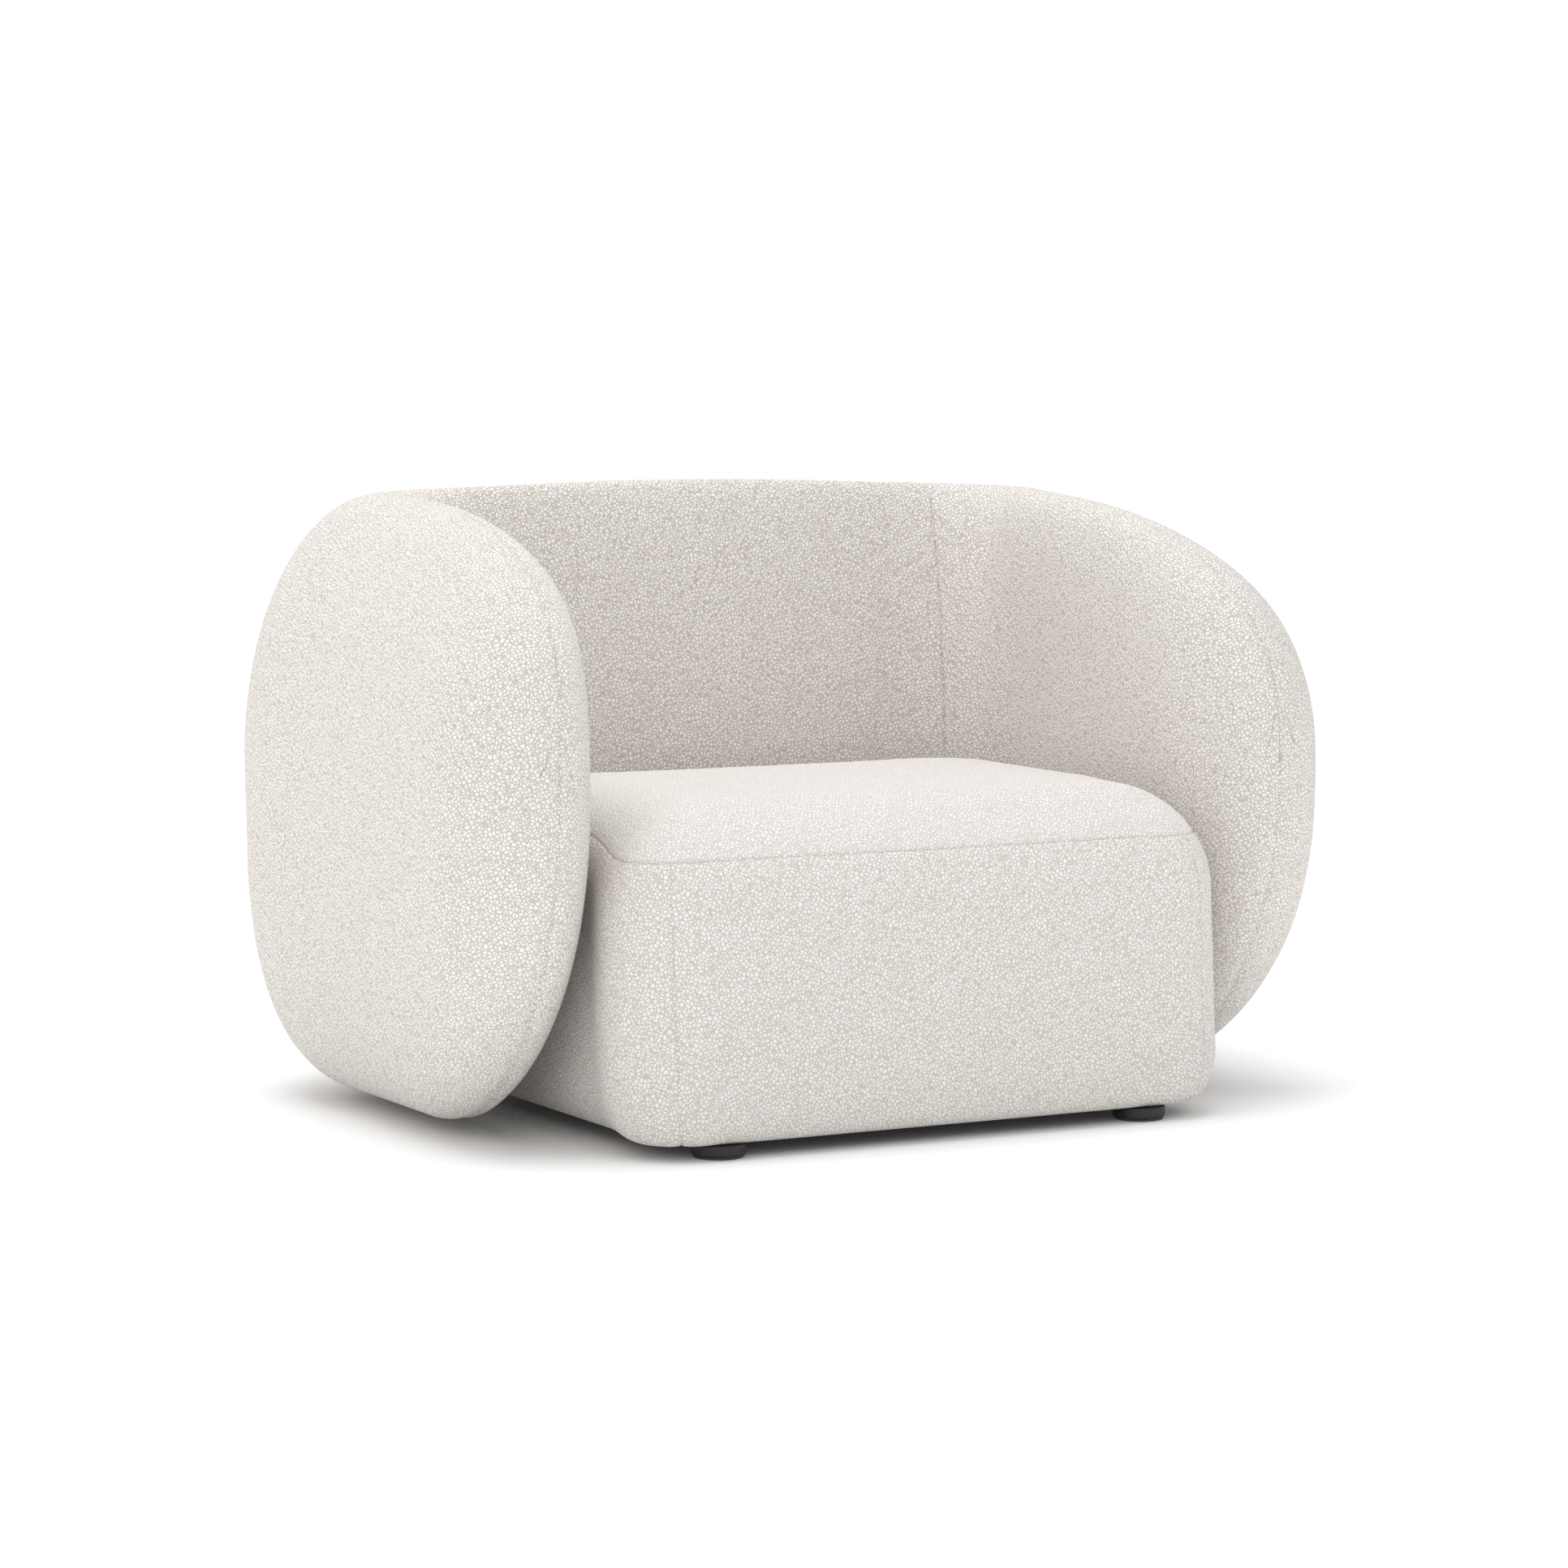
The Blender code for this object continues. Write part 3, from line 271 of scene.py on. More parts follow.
# ---- padding swollen by cloth simulation ---------------------------------------------------
class Swelling:
    """How far a padded body's surface moves when pressure fills its cover."""

    def __init__(self, bm, voxel):
        body = as_object("padding_guide", bm, None)
        step = body.modifiers.new("even", 'REMESH')
        step.mode = 'VOXEL'
        step.voxel_size = voxel
        bpy.context.view_layer.update()
        graph = bpy.context.evaluated_depsgraph_get()
        even = bpy.data.meshes.new_from_object(body.evaluated_get(graph))
        body.modifiers.clear()
        body.data = even
        self.before = places(even)
        self.move = np.zeros_like(self.before)
        self.move = self.simulate(body)
        self.tree = KDTree(len(self.before))
        for index, point in enumerate(self.before):
            self.tree.insert(point, index)
        self.tree.balance()
        bpy.data.objects.remove(body, do_unlink=True)

    def simulate(self, body):
        """Twenty frames of pressure, then the moves capped and smoothed."""
        cloth = body.modifiers.new("pressure", 'CLOTH')
        cloth.settings.use_pressure = True
        cloth.settings.uniform_pressure_force = PRESSURE
        cloth.settings.effector_weights.gravity = 0.0
        cloth.settings.quality = CLOTH_QUALITY
        cloth.settings.mass = CLOTH_MASS
        cloth.settings.tension_stiffness = STIFFNESS
        cloth.settings.compression_stiffness = STIFFNESS
        cloth.settings.bending_stiffness = BENDING
        cloth.point_cache.frame_start, cloth.point_cache.frame_end = 1, FRAMES
        for number in range(1, FRAMES + 1):
            bpy.context.scene.frame_set(number)
        graph = bpy.context.evaluated_depsgraph_get()
        moved = places(body.evaluated_get(graph).data)
        move = moved - self.before
        size = np.linalg.norm(move, axis=1, keepdims=True)
        move *= np.minimum(1.0, SWELL_CAP / np.maximum(size, 1e-9))
        bpy.context.scene.frame_set(1)
        return self.smoothed(body.data, move)

    @staticmethod
    def smoothed(mesh, values):
        """Average each point's value with its neighbours' a few times."""
        ends = np.empty(len(mesh.edges) * 2, int)
        mesh.edges.foreach_get("vertices", ends)
        one, two = ends.reshape(-1, 2).T
        count = np.bincount(ends, minlength=len(values))[:, None]
        for _ in range(SMOOTHING_ROUNDS):
            total = np.zeros_like(values)
            np.add.at(total, one, values[two])
            np.add.at(total, two, values[one])
            values = 0.5 * values + 0.5 * total / count
        return values

    def apply(self, mesh, seam_pull):
        """Move a fine cover with the padding, less near seams, where thread holds it."""
        points = places(mesh)
        shift = np.zeros_like(points)
        for index, point in enumerate(points):
            near = self.tree.find_n(point, NEAREST)
            weights = np.array([1 / (gap + NEAREST_SOFTNESS) ** 2 for _, _, gap in near])
            rows = [number for _, number, _ in near]
            shift[index] = (self.move[rows] * weights[:, None]).sum(0) / weights.sum()
        mesh.vertices.foreach_set("co", (points + shift * seam_pull).ravel())
        mesh.update()


# ---- materials -----------------------------------------------------------------------------
def add_node(tree, kind, links=None, **settings):
    """A shader node with its settings; links maps an input to a value or another's output."""
    made = tree.nodes.new(kind)
    for key, value in settings.items():
        setattr(made, key, value)
    for key, value in (links or {}).items():
        socket = made.inputs[key]
        if isinstance(value, bpy.types.NodeSocket):
            tree.links.new(value, socket)
        else:
            socket.default_value = value
    return made


def maths(tree, operation, *values, clamp=False):
    """Output of a Math node."""
    made = add_node(tree, "ShaderNodeMath", dict(enumerate(values)), operation=operation)
    made.use_clamp = clamp
    return made.outputs[0]


def mix_color(tree, factor, one, two):
    """Output of a colour Mix node."""
    made = tree.nodes.new("ShaderNodeMix")
    made.data_type = 'RGBA'
    for key, value in ((0, factor), (6, one), (7, two)):
        if isinstance(value, bpy.types.NodeSocket):
            tree.links.new(value, made.inputs[key])
        else:
            made.inputs[key].default_value = value
    return made.outputs[2]


def new_group(name, inputs, outputs):
    """An empty shader group with float or vector sockets."""
    group = bpy.data.node_groups.new(name, 'ShaderNodeTree')
    kinds = {"float": 'NodeSocketFloat', "vector": 'NodeSocketVector'}
    for key, kind in inputs.items():
        group.interface.new_socket(name=key, in_out='INPUT', socket_type=kinds[kind])
    for key, kind in outputs.items():
        group.interface.new_socket(name=key, in_out='OUTPUT', socket_type=kinds[kind])
    return group, group.nodes.new("NodeGroupInput"), group.nodes.new("NodeGroupOutput")


# bouclé: nubs of yarn, the hollows between them darkened as painted shade, and the yarn's uneven tone
NUBS_PER_METRE, NUB_UNEVEN, NUB_WANDER = 235.0, 0.85, 0.005
WANDER_SCALE, FIBRE_SCALE, PATCH_SCALE = 60.0, 1100.0, 14.0
HOLLOW_EDGE, HOLLOW_SHADE_POWER, FIBRE_SHARE = 0.21, 1.3, 0.25
SEAM_DARK = 0.10                         # seams are this much darker
YARN_ROUGH, HOLLOW_ROUGH = 0.84, 0.12
NUB_STRENGTH, NUB_HEIGHT = 0.60, 0.0013
SHEEN, SHEEN_ROUGH, YARN_SPECULAR = 0.10, 0.45, 0.1
YARN_LIGHT = (0.885, 0.862, 0.850, 1.0)
YARN_WARM = (0.862, 0.834, 0.812, 1.0)
# colour that the hollows between nubs are darkened towards as painted shade; seams are darkened towards
# it too
HOLLOW_SHADE_AND_SEAM_COLOR = (0.500, 0.440, 0.365, 1.0)


def boucle_group():
    """Uneven nubs of looped yarn: their height, the depth of the hollows between them (which the
    materials darken as painted shade), and broad random tone.
    """
    tree, given, result = new_group(
        "boucle_loops", {"Place": "vector", "Loops per metre": "float", "Slant": "vector"},
        {"Height": "float", "Depth": "float", "Shade": "float"})
    turned = add_node(tree, "ShaderNodeVectorRotate",
                      {"Vector": given.outputs["Place"], "Rotation": given.outputs["Slant"]},
                      rotation_type='EULER_XYZ').outputs[0]
    wander = add_node(tree, "ShaderNodeTexNoise",
                      {"Vector": turned, "Scale": WANDER_SCALE, "Detail": 2.0})
    centred = add_node(tree, "ShaderNodeVectorMath", {0: wander.outputs["Color"], 1: (0.5, 0.5, 0.5)},
                       operation='SUBTRACT').outputs[0]
    strayed = add_node(tree, "ShaderNodeVectorMath", {0: centred, 3: NUB_WANDER},
                       operation='SCALE').outputs[0]
    loose = add_node(tree, "ShaderNodeVectorMath", {0: turned, 1: strayed},
                     operation='ADD').outputs[0]
    edges = add_node(tree, "ShaderNodeTexVoronoi",
                     {"Vector": loose, "Scale": given.outputs["Loops per metre"],
                      "Randomness": NUB_UNEVEN}, feature='DISTANCE_TO_EDGE')
    dome = add_node(tree, "ShaderNodeMapRange",
                    {"Value": edges.outputs["Distance"], "From Min": 0.0, "From Max": HOLLOW_EDGE,
                     "To Min": 0.0, "To Max": 1.0}, interpolation_type='SMOOTHSTEP').outputs[0]
    fibre = add_node(tree, "ShaderNodeTexNoise",
                     {"Vector": turned, "Scale": FIBRE_SCALE, "Detail": 2.0})
    fuzz = maths(tree, 'MULTIPLY', fibre.outputs["Fac"], FIBRE_SHARE)
    patch = add_node(tree, "ShaderNodeTexNoise",
                     {"Vector": given.outputs["Place"], "Scale": PATCH_SCALE, "Detail": 3.0})
    tree.links.new(maths(tree, 'ADD', dome, fuzz), result.inputs["Height"])
    tree.links.new(maths(tree, 'SUBTRACT', 1.0, dome), result.inputs["Depth"])
    tree.links.new(patch.outputs["Fac"], result.inputs["Shade"])
    return tree


BOUCLE_LOOPS = boucle_group()


def boucle(name, slant, hollows):
    """Off-white bouclé: pale loops, painted shade darkening the hollows between them as strongly as
    hollows says, soft sheen.
    """
    made = bpy.data.materials.new(name)
    made.use_nodes = True
    tree = made.node_tree
    shader = tree.nodes["Principled BSDF"]
    place = tree.nodes.new("ShaderNodeTexCoord").outputs["Object"]
    loops = add_node(tree, "ShaderNodeGroup")
    loops.node_tree = BOUCLE_LOOPS
    tree.links.new(place, loops.inputs["Place"])
    loops.inputs["Loops per metre"].default_value = NUBS_PER_METRE
    loops.inputs["Slant"].default_value = slant
    seam = add_node(tree, "ShaderNodeAttribute", attribute_name="seam")
    yarn = mix_color(tree, loops.outputs["Shade"], YARN_LIGHT, YARN_WARM)
    # painted shade: the colour darkens towards the hollow shade colour where the nubs dip, scaled by
    # hollows
    hollow = maths(tree, 'POWER', loops.outputs["Depth"], HOLLOW_SHADE_POWER)
    hollow = maths(tree, 'MULTIPLY', hollow, hollows)
    dark = maths(tree, 'MULTIPLY_ADD', seam.outputs["Fac"], SEAM_DARK, hollow, clamp=True)
    color = mix_color(tree, dark, yarn, HOLLOW_SHADE_AND_SEAM_COLOR)
    tree.links.new(color, shader.inputs["Base Color"])
    rough = maths(tree, 'MULTIPLY_ADD', loops.outputs["Depth"], HOLLOW_ROUGH, YARN_ROUGH)
    tree.links.new(rough, shader.inputs["Roughness"])
    bump = add_node(tree, "ShaderNodeBump", {"Height": loops.outputs["Height"],
                                             "Strength": NUB_STRENGTH, "Distance": NUB_HEIGHT})
    tree.links.new(bump.outputs["Normal"], shader.inputs["Normal"])
    shader.inputs["Sheen Weight"].default_value = SHEEN
    shader.inputs["Sheen Roughness"].default_value = SHEEN_ROUGH
    shader.inputs["Specular IOR Level"].default_value = YARN_SPECULAR
    return made


def grained(name, dark, light, roughness, grain, bump_height, metallic=0.0):
    """Fine-grained solid finish: moulded plastic, felt, lining, wood or plated steel."""
    made = bpy.data.materials.new(name)
    made.use_nodes = True
    tree = made.node_tree
    shader = tree.nodes["Principled BSDF"]
    place = tree.nodes.new("ShaderNodeTexCoord").outputs["Object"]
    sized = add_node(tree, "ShaderNodeVectorMath", {0: place, 1: grain}, operation='MULTIPLY')
    fine = add_node(tree, "ShaderNodeTexNoise", {"Vector": sized.outputs[0], "Scale": 1.0,
                                                 "Detail": 4.0, "Roughness": 0.6})
    broad = add_node(tree, "ShaderNodeTexNoise", {"Vector": place, "Scale": 30.0, "Detail": 2.0})
    spread = add_node(tree, "ShaderNodeMapRange", {"Value": fine.outputs["Fac"], "From Min": 0.3,
                                                   "From Max": 0.7}).outputs[0]
    color = mix_color(tree, spread, (*dark, 1.0), (*light, 1.0))
    tree.links.new(color, shader.inputs["Base Color"])
    rough = maths(tree, 'MULTIPLY_ADD', broad.outputs["Fac"], 0.16, roughness - 0.08)
    tree.links.new(rough, shader.inputs["Roughness"])
    bump = add_node(tree, "ShaderNodeBump", {"Height": fine.outputs["Fac"], "Strength": 0.6,
                                             "Distance": bump_height})
    tree.links.new(bump.outputs["Normal"], shader.inputs["Normal"])
    shader.inputs["Metallic"].default_value = metallic
    return made


SHELL_SLANT = (math.radians(34), math.radians(14), math.radians(23))
SEAT_SLANT = (math.radians(20), math.radians(-31), math.radians(14))
# one bouclé with painted shade of different strength per piece: darkest on the back, whose inner face
# lies in shade, lightest on the seat top, which takes light from above
BOUCLE_ARM = boucle("boucle_arm", SHELL_SLANT, 0.80)
BOUCLE_BACK = boucle("boucle_back", SHELL_SLANT, 0.86)
BOUCLE_SEAT = boucle("boucle_seat", SEAT_SLANT, 0.70)
BOUCLE_TOP = boucle("boucle_seat_top", SEAT_SLANT, 0.50)
FOOT_BLACK = grained("foot_grained_black", (0.012, 0.012, 0.013), (0.032, 0.032, 0.034),
                     0.52, (1900, 1900, 1900), 0.0003)
FELT = grained("glide_felt", (0.05, 0.05, 0.05), (0.12, 0.12, 0.12), 0.95, (700, 700, 700), 0.0006)
LINING = grained("lining_nonwoven", (0.012, 0.012, 0.012), (0.040, 0.040, 0.040),
                 0.9, (420, 420, 420), 0.0004)
WOOD = grained("frame_beech", (0.46, 0.30, 0.17), (0.68, 0.50, 0.32), 0.62, (40, 40, 400), 0.0003)
WEBBING = grained("elastic_webbing", (0.05, 0.045, 0.04), (0.16, 0.15, 0.13), 0.85,
                  (900, 160, 900), 0.0005)
STEEL = grained("zinc_steel", (0.50, 0.50, 0.49), (0.68, 0.68, 0.66), 0.38, (600, 600, 600),
                0.0001, 1.0)


# ---- cover panels --------------------------------------------------------------------------
SEAM_REACH = 0.06                        # points farther from a seam are left alone
SECTION_SAMPLES, AROUND_SAMPLES, CREST_SAMPLES = 500, 1200, 1500
EVEN_BAND, SHORT_SECTION = 0.05, 0.12    # the mesh stays even this near the crest seam
BACK_GUIDES = 24                         # stations along half the back, for the swelling
SEAM_FINE_LENGTH, STATION_ROOM = 0.08, 0.003


def seam_profile(gap):
    """Depth of a sewn groove at a distance from its line."""
    return (SEAM_DEPTH * np.exp(-(gap / SEAM_WIDTH) ** 2)
            + SHOULDER_DEPTH * np.exp(-(gap / SHOULDER_WIDTH) ** 2))


def sink_seams(mesh, gaps, runs):
    """Sink the surface along its seams; gaps are distances to them, runs the way along."""
    mesh.update()
    normals = np.empty(len(mesh.vertices) * 3)
    mesh.vertex_normals.foreach_get("vector", normals)
    pucker = PUCKER * np.cos(runs * math.tau / PUCKER_PITCH) * np.exp(-(gaps / (2 * SEAM_WIDTH)) ** 2)
    depth = seam_profile(gaps) + pucker
    points = places(mesh) - normals.reshape(-1, 3) * depth[:, None]
    mesh.vertices.foreach_set("co", points.ravel())
    layer = mesh.attributes.new("seam", 'FLOAT', 'POINT')
    layer.data.foreach_set("value", np.exp(-(gaps / SEAM_WIDTH) ** 2).astype(np.float32))
    mesh.update()


def nearest_on_lines(points, lines):
    """Distance to the nearest of some seam lines, and the length along it."""
    best = np.full(len(points), 9.0)
    along = np.zeros(len(points))
    for line in lines:
        tree = KDTree(len(line))
        for index, point in enumerate(line):
            tree.insert(point, index)
        tree.balance()
        run = np.concatenate([[0], np.cumsum(np.linalg.norm(np.diff(line, axis=0), axis=1))])
        low, high = line.min(0) - SEAM_REACH, line.max(0) + SEAM_REACH
        inside = np.where(((points > low) & (points < high)).all(1))[0]
        for index in inside:
            _, number, gap = tree.find(points[index])
            if gap < best[index]:
                best[index], along[index] = gap, run[number]
    return best, along


def fine_line(points):
    """The same line with points close together."""
    run = np.concatenate([[0], np.cumsum(np.linalg.norm(np.diff(points, axis=0), axis=1))])
    marks = np.linspace(0, run[-1], max(2, round(run[-1] / SEAM_LINE_STEP)))
    return np.stack([np.interp(marks, run, points[:, axis]) for axis in range(3)], 1)


def half_section(s, first, last, step, inset):
    """One side of the shell's section at each station, crest first, graded from the crest."""
    angles = np.radians(first + (last - first) * np.linspace(0, 1, SECTION_SAMPLES))
    dense = shell_points(np.asarray(s)[:, None], angles[None, :], inset)
    longest = np.linalg.norm(np.diff(dense, axis=1), axis=2).sum(1).max()
    marks = graded(longest, step)
    rows = []
    for line in dense:
        run = np.concatenate([[0], np.cumsum(np.linalg.norm(np.diff(line, axis=0), axis=1))])
        scale = run[-1] / longest
        near = np.minimum(marks, EVEN_BAND) * min(1.0, run[-1] / SHORT_SECTION)
        far = np.maximum(marks - EVEN_BAND, 0) / (longest - EVEN_BAND)
        rest = run[-1] - near.max()
        wanted = near + far * rest if run[-1] > SHORT_SECTION else marks * scale
        rows.append(np.stack([np.interp(wanted, run, line[:, axis]) for axis in range(3)], 1))
    return np.array(rows)


def shell_grid(stations, step, inset):
    """Points of a closed stretch of the shell, [around, along]."""
    outer = half_section(stations, 90, -90, step, inset)
    inner = half_section(stations, 90, 270, step, inset)
    ring = np.concatenate([outer[:, ::-1], inner[:, 1:]], axis=1)
    return ring.transpose(1, 0, 2)


def padded_piece(name, bm, finish, swelling, lines, nodes):
    """Finish a padded piece: swell it, sink its seams, and let it stand for its nodes."""
    bmesh.ops.recalc_face_normals(bm, faces=bm.faces)
    made = as_object(name, bm, finish)
    mesh = made.data
    points = places(mesh)
    gaps, runs = nearest_on_lines(points, lines)
    free = smooth_step((points[:, 2] - CLEARANCE - SWELL) / HELD_HEIGHT)
    loose = 1 - SEAM_HOLD * np.exp(-(gaps / SEAM_HOLD_WIDTH) ** 2)
    swelling.apply(mesh, (loose * free)[:, None])
    sink_seams(mesh, gaps, runs)
    whole = bmesh.new()
    whole.from_mesh(mesh)
    close_up(whole)
    whole.to_mesh(mesh)
    whole.free()
    mesh.set_sharp_from_angle(angle=SHARP_EDGE)
    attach(made, "root")
    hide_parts(*nodes)
    return made


def make_shell():
    """Both arms and the back, parted at the corner seams, with a crest seam on each arm."""
    coarse = arm_stations(GUIDE_STEP)
    middle = np.linspace(CORNER_S, HALF_PATH, BACK_GUIDES)[1:]
    half = np.concatenate([coarse, middle])
    whole = np.concatenate([half, (2 * HALF_PATH - half)[::-1][1:]])
    body = grid_mesh(shell_grid(whole, GUIDE_STEP, SWELL))
    close_up(body)
    swelling = Swelling(body, SHELL_VOXEL)
    to_nose = arm_stations(PANEL_STEP)
    fine = CORNER_S - graded(SEAM_FINE_LENGTH, PANEL_STEP)[::-1]
    arm = np.concatenate([to_nose[to_nose < fine[0] - STATION_ROOM], fine])
    arm[-1] -= SEAM_GAP
    near = graded(HALF_PATH - CORNER_S, PANEL_STEP)
    back_half = CORNER_S + near
    back_half[0] += SEAM_GAP
    back = np.concatenate([back_half, (2 * HALF_PATH - back_half)[::-1][1:]])
    around = np.radians(np.linspace(-90, 270, AROUND_SAMPLES))
    crest_s = CORNER_S * np.linspace(0, 1, CREST_SAMPLES) ** 3
    for side, word in ((1, "right"), (-1, "left")):
        flip = np.array([side, 1, 1])
        crest = fine_line(shell_points(crest_s, math.pi / 2, SWELL) * flip)
        foot = fine_line(shell_points(crest_s, -math.pi / 2, SWELL) * flip)
        corner = fine_line(shell_points(CORNER_S, around, SWELL) * flip)
        bm = grid_mesh(shell_grid(arm, PANEL_STEP, SWELL) * flip)
        padded_piece(f"arm_{word}", bm, BOUCLE_ARM, swelling, [crest, foot, corner],
                     [f"arm_cover_outer_{word}", f"arm_cover_inner_{word}", f"arm_foam_{word}"])
    corners = [fine_line(shell_points(s, around, SWELL)) for s in (CORNER_S, 2 * HALF_PATH - CORNER_S)]
    bm = grid_mesh(shell_grid(back, PANEL_STEP, SWELL))
    padded_piece("back", bm, BOUCLE_BACK, swelling, corners, ["back_cover", "back_foam"])


# ---- seat ----------------------------------------------------------------------------------
TIGHT_FROM, TIGHT_LENGTH = -0.20, 0.16   # where the top roll tightens towards the rear
CROWN_SPREAD = 2.2                       # higher: the crown is flatter in the middle
FARTHEST_INSET = 0.30
POCKET_SHARES = (1.0, 0.7, 0.4, 0.15, 0.0)
BOTTOM_ROWS, BOTTOM_TURN, TOP_ROWS = 18, 86, 40


def outline(inset, spacing):
    """Closed plan outline of the seat at some insets, [inset, around], from the left rear corner."""
    inset = np.asarray(inset, float)[:, None]
    parts = []
    for shares, side, back, start in zip(spacing["corners"], (-1, -1, 1, 1), (1, -1, -1, 1),
                                         (90, 180, 270, 0)):
        radius = CORNER_REAR if back > 0 else CORNER_FRONT
        edge = SEAT_REAR if back > 0 else SEAT_FRONT
        turn = np.radians(start + 90 * shares)[None, :]
        rounded = np.maximum(radius - inset, LEAST_ROUND)
        extra = radius - inset - rounded
        x = side * (SEAT_HALF - radius + extra) + np.cos(turn) * rounded
        y = edge - back * (radius - extra) + np.sin(turn) * rounded
        parts.append(np.stack([x, y], -1))
    ring = []
    for number, part in enumerate(parts):
        following = parts[(number + 1) % 4]
        share = spacing["side" if number % 2 == 0 else "end"][1:-1]
        start, end = part[:, -1:], following[:, :1]
        ring += [part, start + (end - start) * share[None, :, None]]
    return np.concatenate([*ring, parts[0][:, :1]], axis=1)


def corner_shares(radius, seam, step):
    """Shares of the way round a corner, graded from its seam."""
    arc = radius * math.pi / 2
    before, after = graded(seam * arc, step), graded((1 - seam) * arc, step)
    return np.concatenate([seam * arc - before[::-1], seam * arc + after[1:]]) / arc


def seat_spacing(step):
    """Shares of the way round the four corners and along the straights."""
    corners = [corner_shares(CORNER_REAR, 0.5, step),
               corner_shares(CORNER_FRONT, FRONT_SEAM_SHARE, step),
               corner_shares(CORNER_FRONT, 1 - FRONT_SEAM_SHARE, step),
               corner_shares(CORNER_REAR, 0.5, step)]
    rounded = CORNER_FRONT + CORNER_REAR
    side = np.linspace(0, 1, round((SEAT_REAR - SEAT_FRONT - rounded) / step) + 1)
    end = np.linspace(0, 1, round((2 * SEAT_HALF - rounded) / step) + 1)
    return {"corners": corners, "side": side, "end": end}


def seam_columns(spacing, step):
    """Columns of the outline where the four corner seams are."""
    columns, start = [], 0
    lengths = [0.5 * CORNER_REAR, FRONT_SEAM_SHARE * CORNER_FRONT,
               (1 - FRONT_SEAM_SHARE) * CORNER_FRONT, 0.5 * CORNER_REAR]
    for number, length in enumerate(lengths):
        columns.append(start + len(graded(length * math.pi / 2, step)) - 1)
        straight = spacing["side" if number % 2 == 0 else "end"]
        start += len(spacing["corners"][number]) + len(straight) - 2
    return columns


def seat_ring(heights, insets, shares, spacing):
    """Points of the seat at stations of its profile, [station, around].

    A station has a height, an inset from the outline, and a share of the way to the middle.
    """
    flat = outline(np.minimum(insets, FARTHEST_INSET), spacing)
    centre = np.array([0.0, (SEAT_FRONT + SEAT_REAR) / 2])
    shares = np.asarray(shares)[:, None, None]
    flat = flat + (centre - flat) * shares
    x, y = flat[..., 0], flat[..., 1]
    z = np.broadcast_to(np.asarray(heights)[:, None], x.shape).copy()
    ahead = smooth_step((FLARE_FROM - y) / (FLARE_FROM - FLARE_TO))
    x = x * (1 + SEAT_FLARE / SEAT_HALF * ahead)
    front = smooth_step((SLOPE_FROM - y) / SLOPE_LENGTH)
    y = y + SEAT_SLOPE * front * np.clip(z / SEAT_TOP, 0, 1) * np.clip(-y / -SEAT_FRONT, 0, 1)
    return np.stack([x, y, z], -1)


def seat_profile(step, inset):
    """(height, inset, share) stations: pocket of the lining, bottom roll, side, top roll, top."""
    low, high = CLEARANCE + inset, SEAT_TOP - inset
    rows = [(low + LINING_POCKET, LINING_MARGIN, share) for share in POCKET_SHARES]
    for turn in np.radians(np.linspace(BOTTOM_TURN, 0, BOTTOM_ROWS)):
        rows.append((low + BOTTOM_ROLL * (1 - math.sin(turn)),
                     inset + BOTTOM_IN * (1 - math.cos(turn)), 0.0))
    side_low, side_high = rows[-1][0], high - TOP_ROLL_FRONT
    for z in np.linspace(side_low, side_high, round((side_high - side_low) / step) + 1)[1:-1]:
        rows.append((z, inset, 0.0))
    seam_turn = math.asin(1 - (high - SEAT_SEAM_Z) / TOP_ROLL_FRONT)
    reach = TOP_ROLL_FRONT
    marks = graded(reach * seam_turn, step)[::-1]
    turns = [seam_turn - mark / reach for mark in marks]
    seam_row = len(rows) + len(turns) - 1
    more = graded(reach * (math.pi / 2 - seam_turn), step)[1:]
    turns += [seam_turn + mark / reach for mark in more]
    for turn in turns:
        rows.append((high - reach * (1 - math.sin(turn)), inset + reach * (1 - math.cos(turn)), 0.0))
    for share in np.linspace(0, 1, TOP_ROWS)[1:]:
        rows.append((high, inset + reach, share))
    return rows, seam_row


def roll_radius(points_y):
    """The top roll is big in front and tighter where the shell holds the seat."""
    front = smooth_step((TIGHT_FROM - points_y) / TIGHT_LENGTH)
    return TOP_ROLL_REAR + (TOP_ROLL_FRONT - TOP_ROLL_REAR) * front


def seat_grid(step, inset):
    """All points of the seat block, [station, around], with its crown; and the seam's row."""
    rows, seam_row = seat_profile(step, inset)
    heights, insets, shares = (np.array(column) for column in zip(*rows))
    spacing = seat_spacing(step)
    high = SEAT_TOP - inset
    edge = outline(np.array([inset]), spacing)[0]
    tight = roll_radius(edge[:, 1]) / TOP_ROLL_FRONT
    full = seat_ring(heights, insets, shares, spacing)
    rolled = heights > high - TOP_ROLL_FRONT
    outer = seat_ring(heights, np.full(len(rows), inset), shares * 0, spacing)
    for row in np.where(rolled)[0]:
        drop = (high - heights[row]) * tight
        full[row, :, 2] = high - drop
        rim = outer[row]
        on_roll = shares[row] == 0
        share = tight[:, None] if on_roll else 1.0
        inward = full[row, :, :2] - rim[:, :2]
        if on_roll:
            full[row, :, :2] = rim[:, :2] + inward * share
        else:
            edge_row = full[seam_end(rows), :, :2]
            centre = np.array([0.0, (SEAT_FRONT + SEAT_REAR) / 2])
            full[row, :, :2] = edge_row + (centre - edge_row) * shares[row]
            full[row, :, 2] = high
    reach = np.clip(1 - np.abs(full[..., 0]) / SEAT_HALF, 0, 1) * CROWN_SPREAD
    along = np.clip(1 - np.abs(full[..., 1] - (SEAT_FRONT + SEAT_REAR) / 2)
                    / ((SEAT_REAR - SEAT_FRONT) / 2), 0, 1) * CROWN_SPREAD
    crown = SEAT_CROWN * smooth_step(reach) * smooth_step(along)
    full[..., 2] += np.where(rolled[:, None], crown, 0)
    return full, seam_row


def seam_end(rows):
    """Index of the last station of the top roll."""
    return max(index for index, row in enumerate(rows) if row[2] == 0.0)


